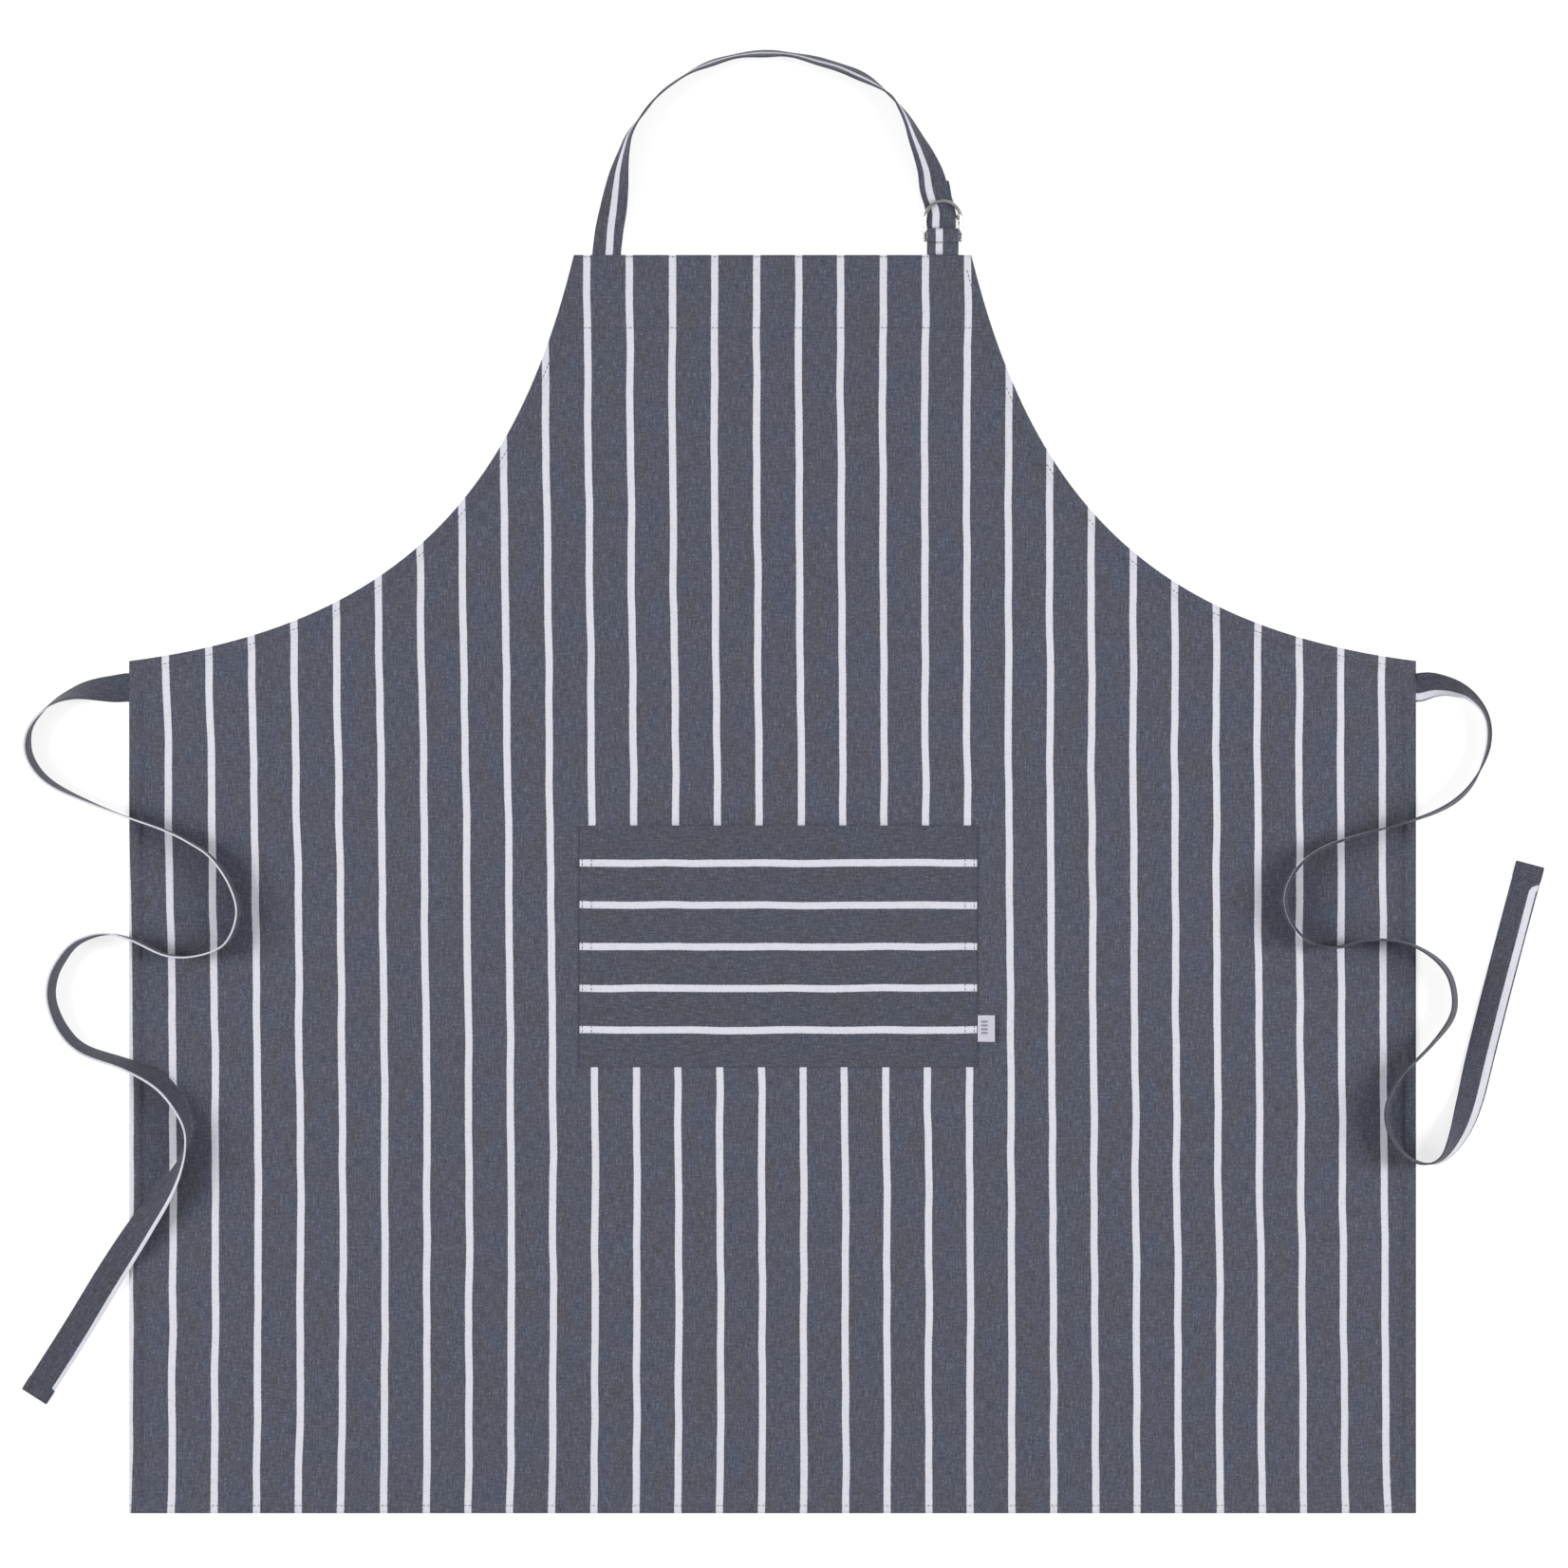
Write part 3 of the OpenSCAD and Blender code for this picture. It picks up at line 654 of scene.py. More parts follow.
def lay_tape(route, over, width, thickness, spacing=3 * MM, twist=0.0):
    """Centres and width directions of a tape along a route of x, y, share of the riding height, and lean."""
    path = spline(route, spacing)
    loose = np.sin(np.pi * np.arange(len(path)) / (len(path) - 1)) ** 2
    path[:, 3] += twist * loose * np.sin(np.arange(len(path)) * spacing / (6 * MM))
    ahead = np.gradient(path[:, :2], axis=0)
    ahead /= np.linalg.norm(ahead, axis=1)[:, None]
    lean = np.radians(path[:, 3])
    across = np.column_stack([-ahead[:, 1] * np.cos(lean), ahead[:, 0] * np.cos(lean), np.sin(lean)])
    lift = width / 2 * np.abs(np.sin(lean)) + thickness / 2 * np.abs(np.cos(lean))
    low = np.clip(path[:, 2], 0, 1.0) * over
    return np.column_stack([path[:, :2], low + lift]), across


# ---------------------------------------------------------------- outlines


ARM_STEPS = 48
ARM_PULLS = np.array([(0.0, 0.0), (0.13, 0.585), (0.39, 0.915), (1.0, 1.0)])


def armhole_curve(inside=0.0):
    """The right armhole, from the bib's corner to the side's corner, that far inside the edge."""
    depth = bpy.context.scene.apron_cloth.armhole_depth
    u = np.linspace(0, 1, ARM_STEPS + 1)[:, None]
    a, b, c, d = ARM_PULLS
    share = a * (1 - u) ** 3 + 3 * b * u * (1 - u) ** 2 + 3 * c * u * u * (1 - u) + d * u**3
    slope = 3 * (b - a) * (1 - u) ** 2 + 6 * (c - b) * u * (1 - u) + 3 * (d - c) * u * u
    scale = np.array([HALF_W - BIB_HALF, -depth])
    points = share * scale + np.array([BIB_HALF, TOP_Y])
    ahead = slope * scale
    ahead /= np.linalg.norm(ahead, axis=1)[:, None]
    return points + inside * np.column_stack([ahead[:, 1], -ahead[:, 0]])


def mirrored(points):
    return np.array(points) * np.array([-1, 1])


def panel_outline():
    right = armhole_curve()
    return np.vstack([mirrored(right), [(-HALF_W, BOTTOM_Y), (HALF_W, BOTTOM_Y)], right[::-1]])


def rectangle(x0, y0, x1, y1):
    return np.array([(x0, y0), (x1, y0), (x1, y1), (x0, y1)])


def ripple(x, y, height):
    """Low waves in laid cloth, from nothing up to the height."""
    waves = np.sin(x * 31 + 1.7 * np.sin(y * 9)) + np.sin(y * 23 + x * 11 + 0.8)
    waves += 0.7 * np.sin(x * 57 - y * 41 + 2.0) + 0.5 * np.sin(x * 83 + y * 19)
    return height * np.clip(0.5 + waves / 6.4, 0, 1)


def puckers(x, y, short, long):
    """Small slanting waves, from minus one to one, as sewing draws cloth up beside a seam."""
    return np.sin((x + y) * 2 * math.pi / short) * np.sin((x - y) * 2 * math.pi / long)


# ---------------------------------------------------------------- cords' routes

# Each point is x and y in metres, the share of the riding height, and the lean in degrees
STRAP_ROUTE = [
    (-0.1160, 0.4400, 0, 0), (-0.1160, 0.4420, 0, 0), (-0.1140, 0.4580, 0, -8),
    (-0.1114, 0.4710, 0, -16), (-0.1088, 0.4860, 0, -34), (-0.1066, 0.4990, 0, -50),
    (-0.1035, 0.5120, 0, -66), (-0.1000, 0.5230, 0, -77), (-0.0930, 0.5340, 0, -84),
    (-0.0820, 0.5480, 0, -84), (-0.0700, 0.5585, 0, -82), (-0.0500, 0.5700, 0, -76),
    (-0.0250, 0.5778, 0, -72), (-0.0030, 0.5796, 0, -72), (0.0130, 0.5786, 0, -72),
    (0.0340, 0.5738, 0, -69), (0.0560, 0.5664, 0, -63), (0.0710, 0.5586, 0, -74),
    (0.0830, 0.5495, 0, -85), (0.0900, 0.5405, 0.16, -78), (0.0955, 0.5310, 0.28, -68),
    (0.1005, 0.5195, 0.38, -54), (0.1055, 0.5090, 0.42, -42), (0.1098, 0.4980, 0.5, -28),
]
LEFT_TIE_ROUTE = [
    (-0.4500, 0.1375, 0, 0), (-0.4520, 0.1375, 0, 0), (-0.4600, 0.1365, 0, 18),
    (-0.4700, 0.1360, 0, 36), (-0.4800, 0.1350, 0, 52), (-0.4900, 0.1325, 0, 68),
    (-0.5000, 0.1280, 0, 79), (-0.5100, 0.1200, 0.1, 86), (-0.5175, 0.1100, 0.1, 90),
    (-0.5200, 0.0990, 0.1, 96), (-0.5180, 0.0880, 0.1, 98), (-0.5100, 0.0760, 0.1, 98),
    (-0.4960, 0.0660, 0.3, 96), (-0.4700, 0.0545, 1, 90), (-0.4490, 0.0465, 1, 88),
    (-0.4230, 0.0375, 1, 90), (-0.4060, 0.0290, 1, 90), (-0.3910, 0.0185, 1, 90),
    (-0.3780, -0.0005, 1, 90), (-0.3730, -0.0205, 1, 90), (-0.3810, -0.0410, 1, 90),
    (-0.4000, -0.0495, 1, 90), (-0.4220, -0.0495, 1, 90), (-0.4470, -0.0385, 1, 90),
    (-0.4660, -0.0345, 0.8, 94), (-0.4850, -0.0405, 0.3, 98), (-0.4960, -0.0525, 0.1, 101),
    (-0.5025, -0.0665, 0.1, 102), (-0.5030, -0.0825, 0.1, 102), (-0.4950, -0.1015, 0.1, 105),
    (-0.4800, -0.1155, 0.6, 106), (-0.4490, -0.1265, 1, 110), (-0.4240, -0.1405, 1, 120),
    (-0.4095, -0.1645, 1, 103), (-0.4095, -0.1845, 1, 84), (-0.4200, -0.2085, 1, 56),
    (-0.4400, -0.2375, 1, 24), (-0.4620, -0.2715, 1, 6), (-0.4890, -0.3155, 0.1, 0),
    (-0.5165, -0.3585, 0.1, 0),
]
RIGHT_TIE_ROUTE = [
    (0.4500, 0.1375, 0, 0), (0.4520, 0.1375, 0, 0), (0.4600, 0.1393, 0, 30), (0.4695, 0.1385, 0, 50),
    (0.4785, 0.1360, 0, 62), (0.4865, 0.1320, 0, 76), (0.4945, 0.1240, 0, 86),
    (0.4990, 0.1145, 0.1, 90), (0.5000, 0.1025, 0.1, 90), (0.4975, 0.0895, 0.1, 92),
    (0.4900, 0.0730, 0.1, 100), (0.4785, 0.0600, 0.5, 102), (0.4610, 0.0500, 1, 98),
    (0.4340, 0.0410, 1, 93), (0.4100, 0.0345, 1, 90), (0.3850, 0.0260, 1, 90), (0.3670, 0.0125, 1, 92),
    (0.3580, -0.0065, 1, 92), (0.3610, -0.0245, 1, 92), (0.3730, -0.0390, 1, 90),
    (0.3920, -0.0440, 1, 90), (0.4140, -0.0390, 1, 90), (0.4380, -0.0400, 1, 92),
    (0.4570, -0.0480, 1, 98), (0.4710, -0.0615, 0.5, 105), (0.4760, -0.0795, 0.1, 107),
    (0.4730, -0.0945, 0.3, 107), (0.4590, -0.1125, 0.96, 102), (0.4390, -0.1335, 1, 100),
    (0.4285, -0.1535, 1, 102), (0.4300, -0.1720, 1, 102), (0.4400, -0.1875, 1, 98),
    (0.4530, -0.1945, 1, 90), (0.4665, -0.1915, 1, 72), (0.4780, -0.1755, 0.4, 44),
    (0.4870, -0.1525, 0.1, 16), (0.4950, -0.1205, 0.1, 2), (0.5100, -0.0615, 0.1, 0),
    (0.5300, 0.0140, 0.1, 0),
]


def sewn_start(centres, across, start):
    """A tape's points with its sewn end added before them."""
    first = np.linspace(start, centres[0], SEWN_STEPS + 1)[:-1]
    return np.vstack([first, centres]), np.vstack([np.repeat(across[:1], SEWN_STEPS, axis=0), across])


class APRON_OT_neck_strap(bpy.types.Operator):
    """Folded tape from the bib's left corner, on edge round the loop, over the rear ring and back under it"""

    bl_idname = "apron.neck_strap"
    bl_label = "Neck Strap"

    def execute(self, context):
        tapes = context.scene.apron_tapes
        rear_low, rear_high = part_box("rear_ring")
        holder_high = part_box("ring_holder")[1]
        wire = rear_high.z - rear_low.z
        arc_y = rear_high.y - wire / 2
        over = rear_high.z + STRAP_CLEARANCE
        # The rings are a little further out than the strap's middle
        middle_x = (rear_low.x + rear_high.x) / 2 - STRAP_OFF_RINGS
        ends = [(-5.2, 14, 0.66, -4), (-3, 7, 0.92, 0), (-1, 1.5, 1, 0), (0, -3, 1, 0)]
        ends = [(middle_x + x * MM, arc_y + y * MM, share, lean) for x, y, share, lean in ends]
        route = STRAP_ROUTE + ends
        centres, across = lay_tape(route, over, tapes.width, tapes.thickness, twist=STRAP_TWIST)
        centres, across = sewn_start(centres, across, centres[0] - np.array([0, STRAP_SEWN, 0]))
        # Round the rear ring's arc: over it, down behind the holder, and back beneath it
        half_t = tapes.thickness / 2
        fold_r = (over + tapes.thickness) / 2 - half_t
        fold_y = holder_high.y + BAR_CLEARANCE + fold_r + half_t
        fold_z = half_t + fold_r
        turn = np.radians(np.linspace(90, 270, 17))
        fold = [(middle_x, fold_y + fold_r * math.cos(t), fold_z + fold_r * math.sin(t)) for t in turn]
        run_in = [(middle_x, y, over + half_t) for y in np.linspace(arc_y - 5 * MM, fold_y + 1 * MM, 3)]
        tail_turn = arc_y - 7 * MM
        tail = [(middle_x, y, half_t) for y in np.linspace(fold_y + 1 * MM, tail_turn - 2 * MM, 3)]
        ahead_x, ahead_y = -math.sin(TAIL_LEAN), math.cos(TAIL_LEAN)
        reaches = np.linspace(2 * MM, TAIL_LENGTH, 9)
        tail_across = [(1.0, 0.0, 0.0)] * len(tail) + [(ahead_y, -ahead_x, 0.0)] * len(reaches)
        tail += [(middle_x + reach * ahead_x, tail_turn + reach * ahead_y, half_t) for reach in reaches]
        straight = np.repeat([(1.0, 0.0, 0.0)], len(run_in) + len(fold), axis=0)
        centres = np.vstack([centres, run_in, fold, tail])
        across = np.vstack([across, straight, tail_across])

        def wander(length):
            places, shifts = [25, 80, 190, 290, 370, 420, 450], [0, -2.6, -1.4, 0.6, 1.6, 2.6, 1.6]
            drift = np.interp(length / MM, places, shifts)
            loose = smooth_step(length, 0.08, 0.14) * (1 - smooth_step(length, 0.33, 0.39))
            return MM * (drift + 1.1 * loose * np.sin(length / (5.6 * MM)) * np.sin(length / (19 * MM)))

        # Depth 0.9 darkens the strap's ground: painted shade on the same cloth as the panel
        cloth = striped_cotton("Cotton_Drill_Neck_Strap", -1.5, True, on_tape=True, wander=0.25, depth=0.9)
        strap, length = sweep(
            "Neck_Strap", centres, across, tapes.width, tapes.thickness, cloth, stripe_shift=wander
        )
        stand_in(strap, "tape", "neck_strap")
        return {"FINISHED"}


def lay_tie(name, route, side, body, first_stripe, stripe_shift):
    """One waist tie in one piece, from under the side hem to its turned and stitched end."""
    tapes = bpy.context.scene.apron_tapes
    centres, across = lay_tape(route, TIE_OVER, tapes.width, tapes.thickness)
    centres, across = sewn_start(centres, across, centres[0] - np.array([side * TIE_SEWN, 0, 0]))
    # Two more points where the turned end begins
    along = np.concatenate([[0], np.cumsum(np.linalg.norm(np.diff(centres, axis=0), axis=1))])
    step = along[-1] - TIE_END
    finer = np.sort(np.concatenate([along, [step - 0.35 * MM, step + 0.35 * MM]]))
    centres = np.column_stack([np.interp(finer, along, centres[:, i]) for i in range(3)])
    across = np.column_stack([np.interp(finer, along, across[:, i]) for i in range(3)])
    # Depth 0.78 darkens the ties' ground: painted shade on tapes that mostly stand on edge
    cloth = striped_cotton(f"Cotton_Drill_{name}", first_stripe, True, on_tape=True, wander=0.2, depth=0.78)
    tie, length = sweep(
        name, centres, across, tapes.width, tapes.thickness, cloth, None, stripe_shift, end_block=TIE_END
    )
    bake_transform(tie)
    stand_in(tie, "tape", body, f"{body}_root")
    return centres, across


def left_shift(length):
    """Moves the left tie's edge stripe round to its back at the seam and at the turned end."""
    at_seam = 1 - smooth_step(length, 0.05, 0.11)
    at_end = smooth_step(length, length[-1] - TIE_END - 0.5 * MM, length[-1] - TIE_END)
    return -MM * (3.4 * at_seam + 5 * at_end)


def right_shift(length):
    """Moves the right tie's stripe off its front at the turned end."""
    at_end = smooth_step(length, length[-1] - TIE_END - 6 * MM, length[-1] - TIE_END)
    return 7 * MM * at_end


class APRON_OT_ties(bpy.types.Operator):
    """Two folded waist ties in loose curves, mostly standing on edge"""

    bl_idname = "apron.ties"
    bl_label = "Waist Ties"

    def execute(self, context):
        tapes = context.scene.apron_tapes
        for name, route, side, body, stripe, shift in (
            ("Left_Tie", LEFT_TIE_ROUTE, -1, "left_tie", 9.8, left_shift),
            ("Right_Tie", RIGHT_TIE_ROUTE, 1, "right_tie", -6.4, right_shift),
        ):
            centres, across = lay_tie(name, route, side, body, stripe, shift)
            ahead = (centres[-1] - centres[-4]) / np.linalg.norm(centres[-1] - centres[-4])
            middle = centres[-1] - (TIE_END - 1.2 * MM) * ahead + np.array([0, 0, tapes.thickness * 1.1])
            reach = tapes.width / 2 - 1.2 * MM
            row = [middle - across[-1] * reach, middle + across[-1] * reach]
            stitch_row(f"{name}_End_Stitches", [row], f"{body}_end_stitching", body)
        return {"FINISHED"}


# ---------------------------------------------------------------- stitching


def stitch_tree():
    """Geometry nodes that turn a line into a row of stitches, each a small flattened bead of thread."""
    tree = bpy.data.node_groups.get("Stitch_Row")
    if tree is not None:
        return tree
    tree = bpy.data.node_groups.new("Stitch_Row", "GeometryNodeTree")
    tree.interface.new_socket(name="Line", in_out="INPUT", socket_type="NodeSocketGeometry")
    for name in ("Pitch", "Length", "Radius"):
        tree.interface.new_socket(name=name, in_out="INPUT", socket_type="NodeSocketFloat")
    tree.interface.new_socket(name="Thread", in_out="INPUT", socket_type="NodeSocketMaterial")
    tree.interface.new_socket(name="Stitches", in_out="OUTPUT", socket_type="NodeSocketGeometry")
    given = add_node(tree, "NodeGroupInput").outputs
    line = add_node(tree, "GeometryNodeMeshToCurve", None, {"Mesh": given["Line"]})
    spacing = {"Curve": line.outputs[0], "Length": given["Pitch"]}
    spaced = add_node(tree, "GeometryNodeResampleCurve", {"mode": "LENGTH"}, spacing)
    tangent = add_node(tree, "GeometryNodeInputTangent")
    along = {"Vector": tangent.outputs[0]}
    turned = add_node(tree, "FunctionNodeAlignRotationToVector", {"axis": "X"}, along)
    bead = add_node(tree, "GeometryNodeMeshUVSphere", None, {"Segments": 8, "Rings": 5, "Radius": 1.0})
    half = add_node(tree, "ShaderNodeMath", {"operation": "MULTIPLY"}, {0: given["Length"], 1: 0.5})
    axes = {0: half.outputs[0], 1: given["Radius"], 2: given["Radius"]}
    size = add_node(tree, "ShaderNodeCombineXYZ", None, axes)
    beads = add_node(
        tree,
        "GeometryNodeInstanceOnPoints",
        None,
        {
            "Points": spaced.outputs[0],
            "Instance": bead.outputs[0],
            "Rotation": turned.outputs[0],
            "Scale": size.outputs[0],
        },
    )
    real = add_node(tree, "GeometryNodeRealizeInstances", None, {"Geometry": beads.outputs[0]})
    painted = {"Geometry": real.outputs[0], "Material": given["Thread"]}
    coloured = add_node(tree, "GeometryNodeSetMaterial", None, painted)
    result = add_node(tree, "NodeGroupOutput")
    tree.links.new(coloured.outputs[0], result.inputs["Stitches"])
    return tree


def stitch_row(name, lines, node, body=ROOT):
    """Stitches along each line, in place of one CAD thread node."""
    settings = bpy.context.scene.apron_stitches
    thread = bpy.data.materials.get("Polyester_Thread") or sewing_thread()
    vertices, edges = [], []
    for line in lines:
        first = len(vertices)
        vertices += [tuple(p) for p in line]
        edges += [(first + i, first + i + 1) for i in range(len(line) - 1)]
    guide_mesh = bpy.data.meshes.new(name)
    guide_mesh.from_pydata(vertices, edges, [])
    guide = bpy.data.objects.new(f"{name}_Guide", guide_mesh)
    bpy.context.scene.collection.objects.link(guide)
    tree = stitch_tree()
    modifier = guide.modifiers.new("Stitches", "NODES")
    modifier.node_group = tree
    values = {
        "Pitch": settings.pitch,
        "Length": settings.length,
        "Radius": settings.radius,
        "Thread": thread,
    }
    for item in tree.interface.items_tree:
        if item.name in values:
            modifier[item.identifier] = values[item.name]
    evaluated = guide.evaluated_get(bpy.context.evaluated_depsgraph_get())
    mesh = bpy.data.meshes.new_from_object(evaluated)
    bpy.data.objects.remove(guide)
    if not len(mesh.polygons):
        raise RuntimeError(f"{name} has no stitches")
    mesh.name = name
    mesh.shade_smooth()
    row = bpy.data.objects.new(name, mesh)
    bpy.context.scene.collection.objects.link(row)
    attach(row, body)
    stand_in(row, "thread", node)
    return row


def level(points, z):
    """Flat points as a line at one height."""
    return [(p[0], p[1], z) for p in points]


class APRON_OT_stitching(bpy.types.Operator):
    """Rows of stitches along the hems, and boxes of stitches where the strap and the ring holder are sewn on
    """

    bl_idname = "apron.stitching"
    bl_label = "Stitching"

    def execute(self, context):
        top = RIM_TOP + THREAD_RISE
        hem_y = HEM_LINE_Y + 2 * MM
        hem_x = BIB_HALF + 2 * MM
        edge_x, edge_y = BIB_HALF - 8 * MM, TOP_Y - 1.5 * MM
        side_x, side_low, side_high = HALF_W - SEAM_INSET, BOTTOM_Y + HEM_W, BAND_LOW.y
        bottom_x, bottom_y = HALF_W - 1 * MM, BOTTOM_Y + SEAM_INSET
        armhole = armhole_curve(SEAM_INSET)[1:-1]
        rows = {
            "bib_hem": [(-hem_x, hem_y), (hem_x, hem_y)],
            "bib_edge": [(-edge_x, edge_y), (edge_x, edge_y)],
            "right_armhole": armhole,
            "left_armhole": mirrored(armhole),
            "right_side": [(side_x, side_low), (side_x, side_high)],
            "left_side": [(-side_x, side_low), (-side_x, side_high)],
            "bottom_hem": [(-bottom_x, bottom_y), (bottom_x, bottom_y)],
        }
        for name, points in rows.items():
            stitch_row(f"{name.title()}_Stitches", [level(points, top)], f"{name}_stitching")
        for name in ("Strap_Box", "Holder_Box"):
            low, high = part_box(f"{name.lower()}_stitching")
            box = rectangle(low.x, low.y, high.x, high.y)
            stitch_row(f"{name}_Stitches", [level([*box, box[0]], top)], f"{name.lower()}_stitching")
        return {"FINISHED"}


# ---------------------------------------------------------------- panel and hems


class APRON_OT_panel(bpy.types.Operator):
    """Striped body panel, riding over its turned hems, with low waves where it lies free"""

    bl_idname = "apron.panel"
    bl_label = "Body Panel"

    def execute(self, context):
        cloth = context.scene.apron_cloth
        material = striped_cotton("Cotton_Drill_Panel", -8.85)
        pocket_middle = (POCKET_LOW + POCKET_HIGH) / 2
        pocket_half = (POCKET_HIGH - POCKET_LOW) / 2

        def heights(x, y, reach):
            side_rim = 1 - smooth_step(reach, HEM_W - 0.4 * MM, HEM_W + 1.4 * MM)
            rim = np.maximum(side_rim, smooth_step(y, HEM_LINE_Y - 1.2 * MM, HEM_LINE_Y + 0.4 * MM))
            beside_x = np.abs(x - pocket_middle.x) - pocket_half.x
            beside_y = np.abs(y - pocket_middle.y) - pocket_half.y
            beside = smooth_step(np.maximum(beside_x, beside_y), 2 * MM, 25 * MM)
            free = beside * (1 - rim) * smooth_step(reach, HEM_W, HEM_W + 30 * MM)
            low = HEM_T * rim + ripple(x, y, cloth.ripple) * free
            in_hem = side_rim * smooth_step(reach, 0.3 * MM, 2 * MM)
            low = low + 0.1 * MM * (1 + puckers(x, y, 11 * MM, 47 * MM)) * in_hem
            high = low + CLOTH_T
            at_edge = reach < 0.05 * MM
            return np.where(at_edge, HEM_T * 0.9, low), np.where(at_edge, HEM_T + 0.1 * MM, high)

        xs = np.arange(-BIB_HALF - 20 * MM, BIB_HALF + 20 * MM, 5 * MM)
        extra = np.array([(x, HEM_LINE_Y + d) for d in (-1.3 * MM, 0.0, 0.5 * MM) for x in xs])
        loops = [0.5 * MM, 2.5 * MM, 5.2 * MM, HEM_W - 0.4 * MM, HEM_W + 0.5 * MM, HEM_W + 1.5 * MM]
        outline = panel_outline()
        panel = cloth_plate(
            "Body_Panel", outline, 5.5 * MM, loops, heights, material, extra=extra, lie=leaning_stripes
        )
        stand_in(panel, "striped_cloth", "body_panel")
        hems = make_hems(material)
        return {"FINISHED"}


def make_hems(material):
    """The turned edges, which lie under the panel's rim and show on its back."""
    lip = 0.35 * MM

    def heights(x, y, reach):
        rounding = lip * (1 - smooth_step(reach, 0, lip))
        return rounding, HEM_T - rounding - 0.02 * MM

    edge = 0.2 * MM
    outer, inner = armhole_curve(edge), armhole_curve(HEM_W)
    shoulder = [(HALF_W - edge, inner[-1][1])]
    bib_end = [(BIB_HALF - HEM_W, TOP_Y - edge)]
    band = np.vstack([outer, shoulder, inner[::-1], bib_end])
    inner_bib = [p for p in inner if HEM_LINE_Y < p[1] < TOP_Y - edge]
    crossing = np.interp(-HEM_LINE_Y, -inner[:, 1], inner[:, 0])
    right_side = np.vstack([bib_end, inner_bib, [(crossing, HEM_LINE_Y)]])
    bib = np.vstack([right_side, mirrored(right_side)[::-1]])
    x0, x1, y0, y1 = HALF_W - HEM_W, HALF_W - edge, BOTTOM_Y + HEM_W, BAND_LOW.y
    outlines = {
        "left_armhole_hem": mirrored(band),
        "right_armhole_hem": band,
        "bib_hem": bib,
        "left_side_hem": rectangle(-x1, y0, -x0, y1),
        "right_side_hem": rectangle(x0, y0, x1, y1),
        "bottom_hem": rectangle(-x1, BOTTOM_Y + edge, x1, y0 - 0.05 * MM),
    }
    made = []
    for node, outline in outlines.items():
        loops = [lip, 1.5 * MM]
        hem = cloth_plate(node.title(), outline, 4 * MM, loops, heights, material, lie=leaning_stripes)
        stand_in(hem, "striped_cloth", node)
        made.append(hem)
    return made


# ---------------------------------------------------------------- pocket and label


def pocket_lift(x, y):
    """How far the pocket's cloth stands above its sewn edge."""
    pocket = bpy.context.scene.apron_pocket
    middle_x = (POCKET_LOW.x + POCKET_HIGH.x) / 2
    half = (POCKET_HIGH.x - POCKET_LOW.x) / 2 - pocket.margin
    sides = smooth_step(half - np.abs(x - middle_x), 0, 60 * MM)
    up = smooth_step(y, POCKET_LOW.y + pocket.margin, POCKET_HIGH.y)
    sag = 0.25 * np.sin((x - middle_x) * 38 + 0.6) * np.sin((y - POCKET_LOW.y) * 30)
    return pocket.crown * sides * np.clip(0.35 * smooth_step(up, 0, 0.3) + 0.65 * up + sag * up, 0, 1.2)


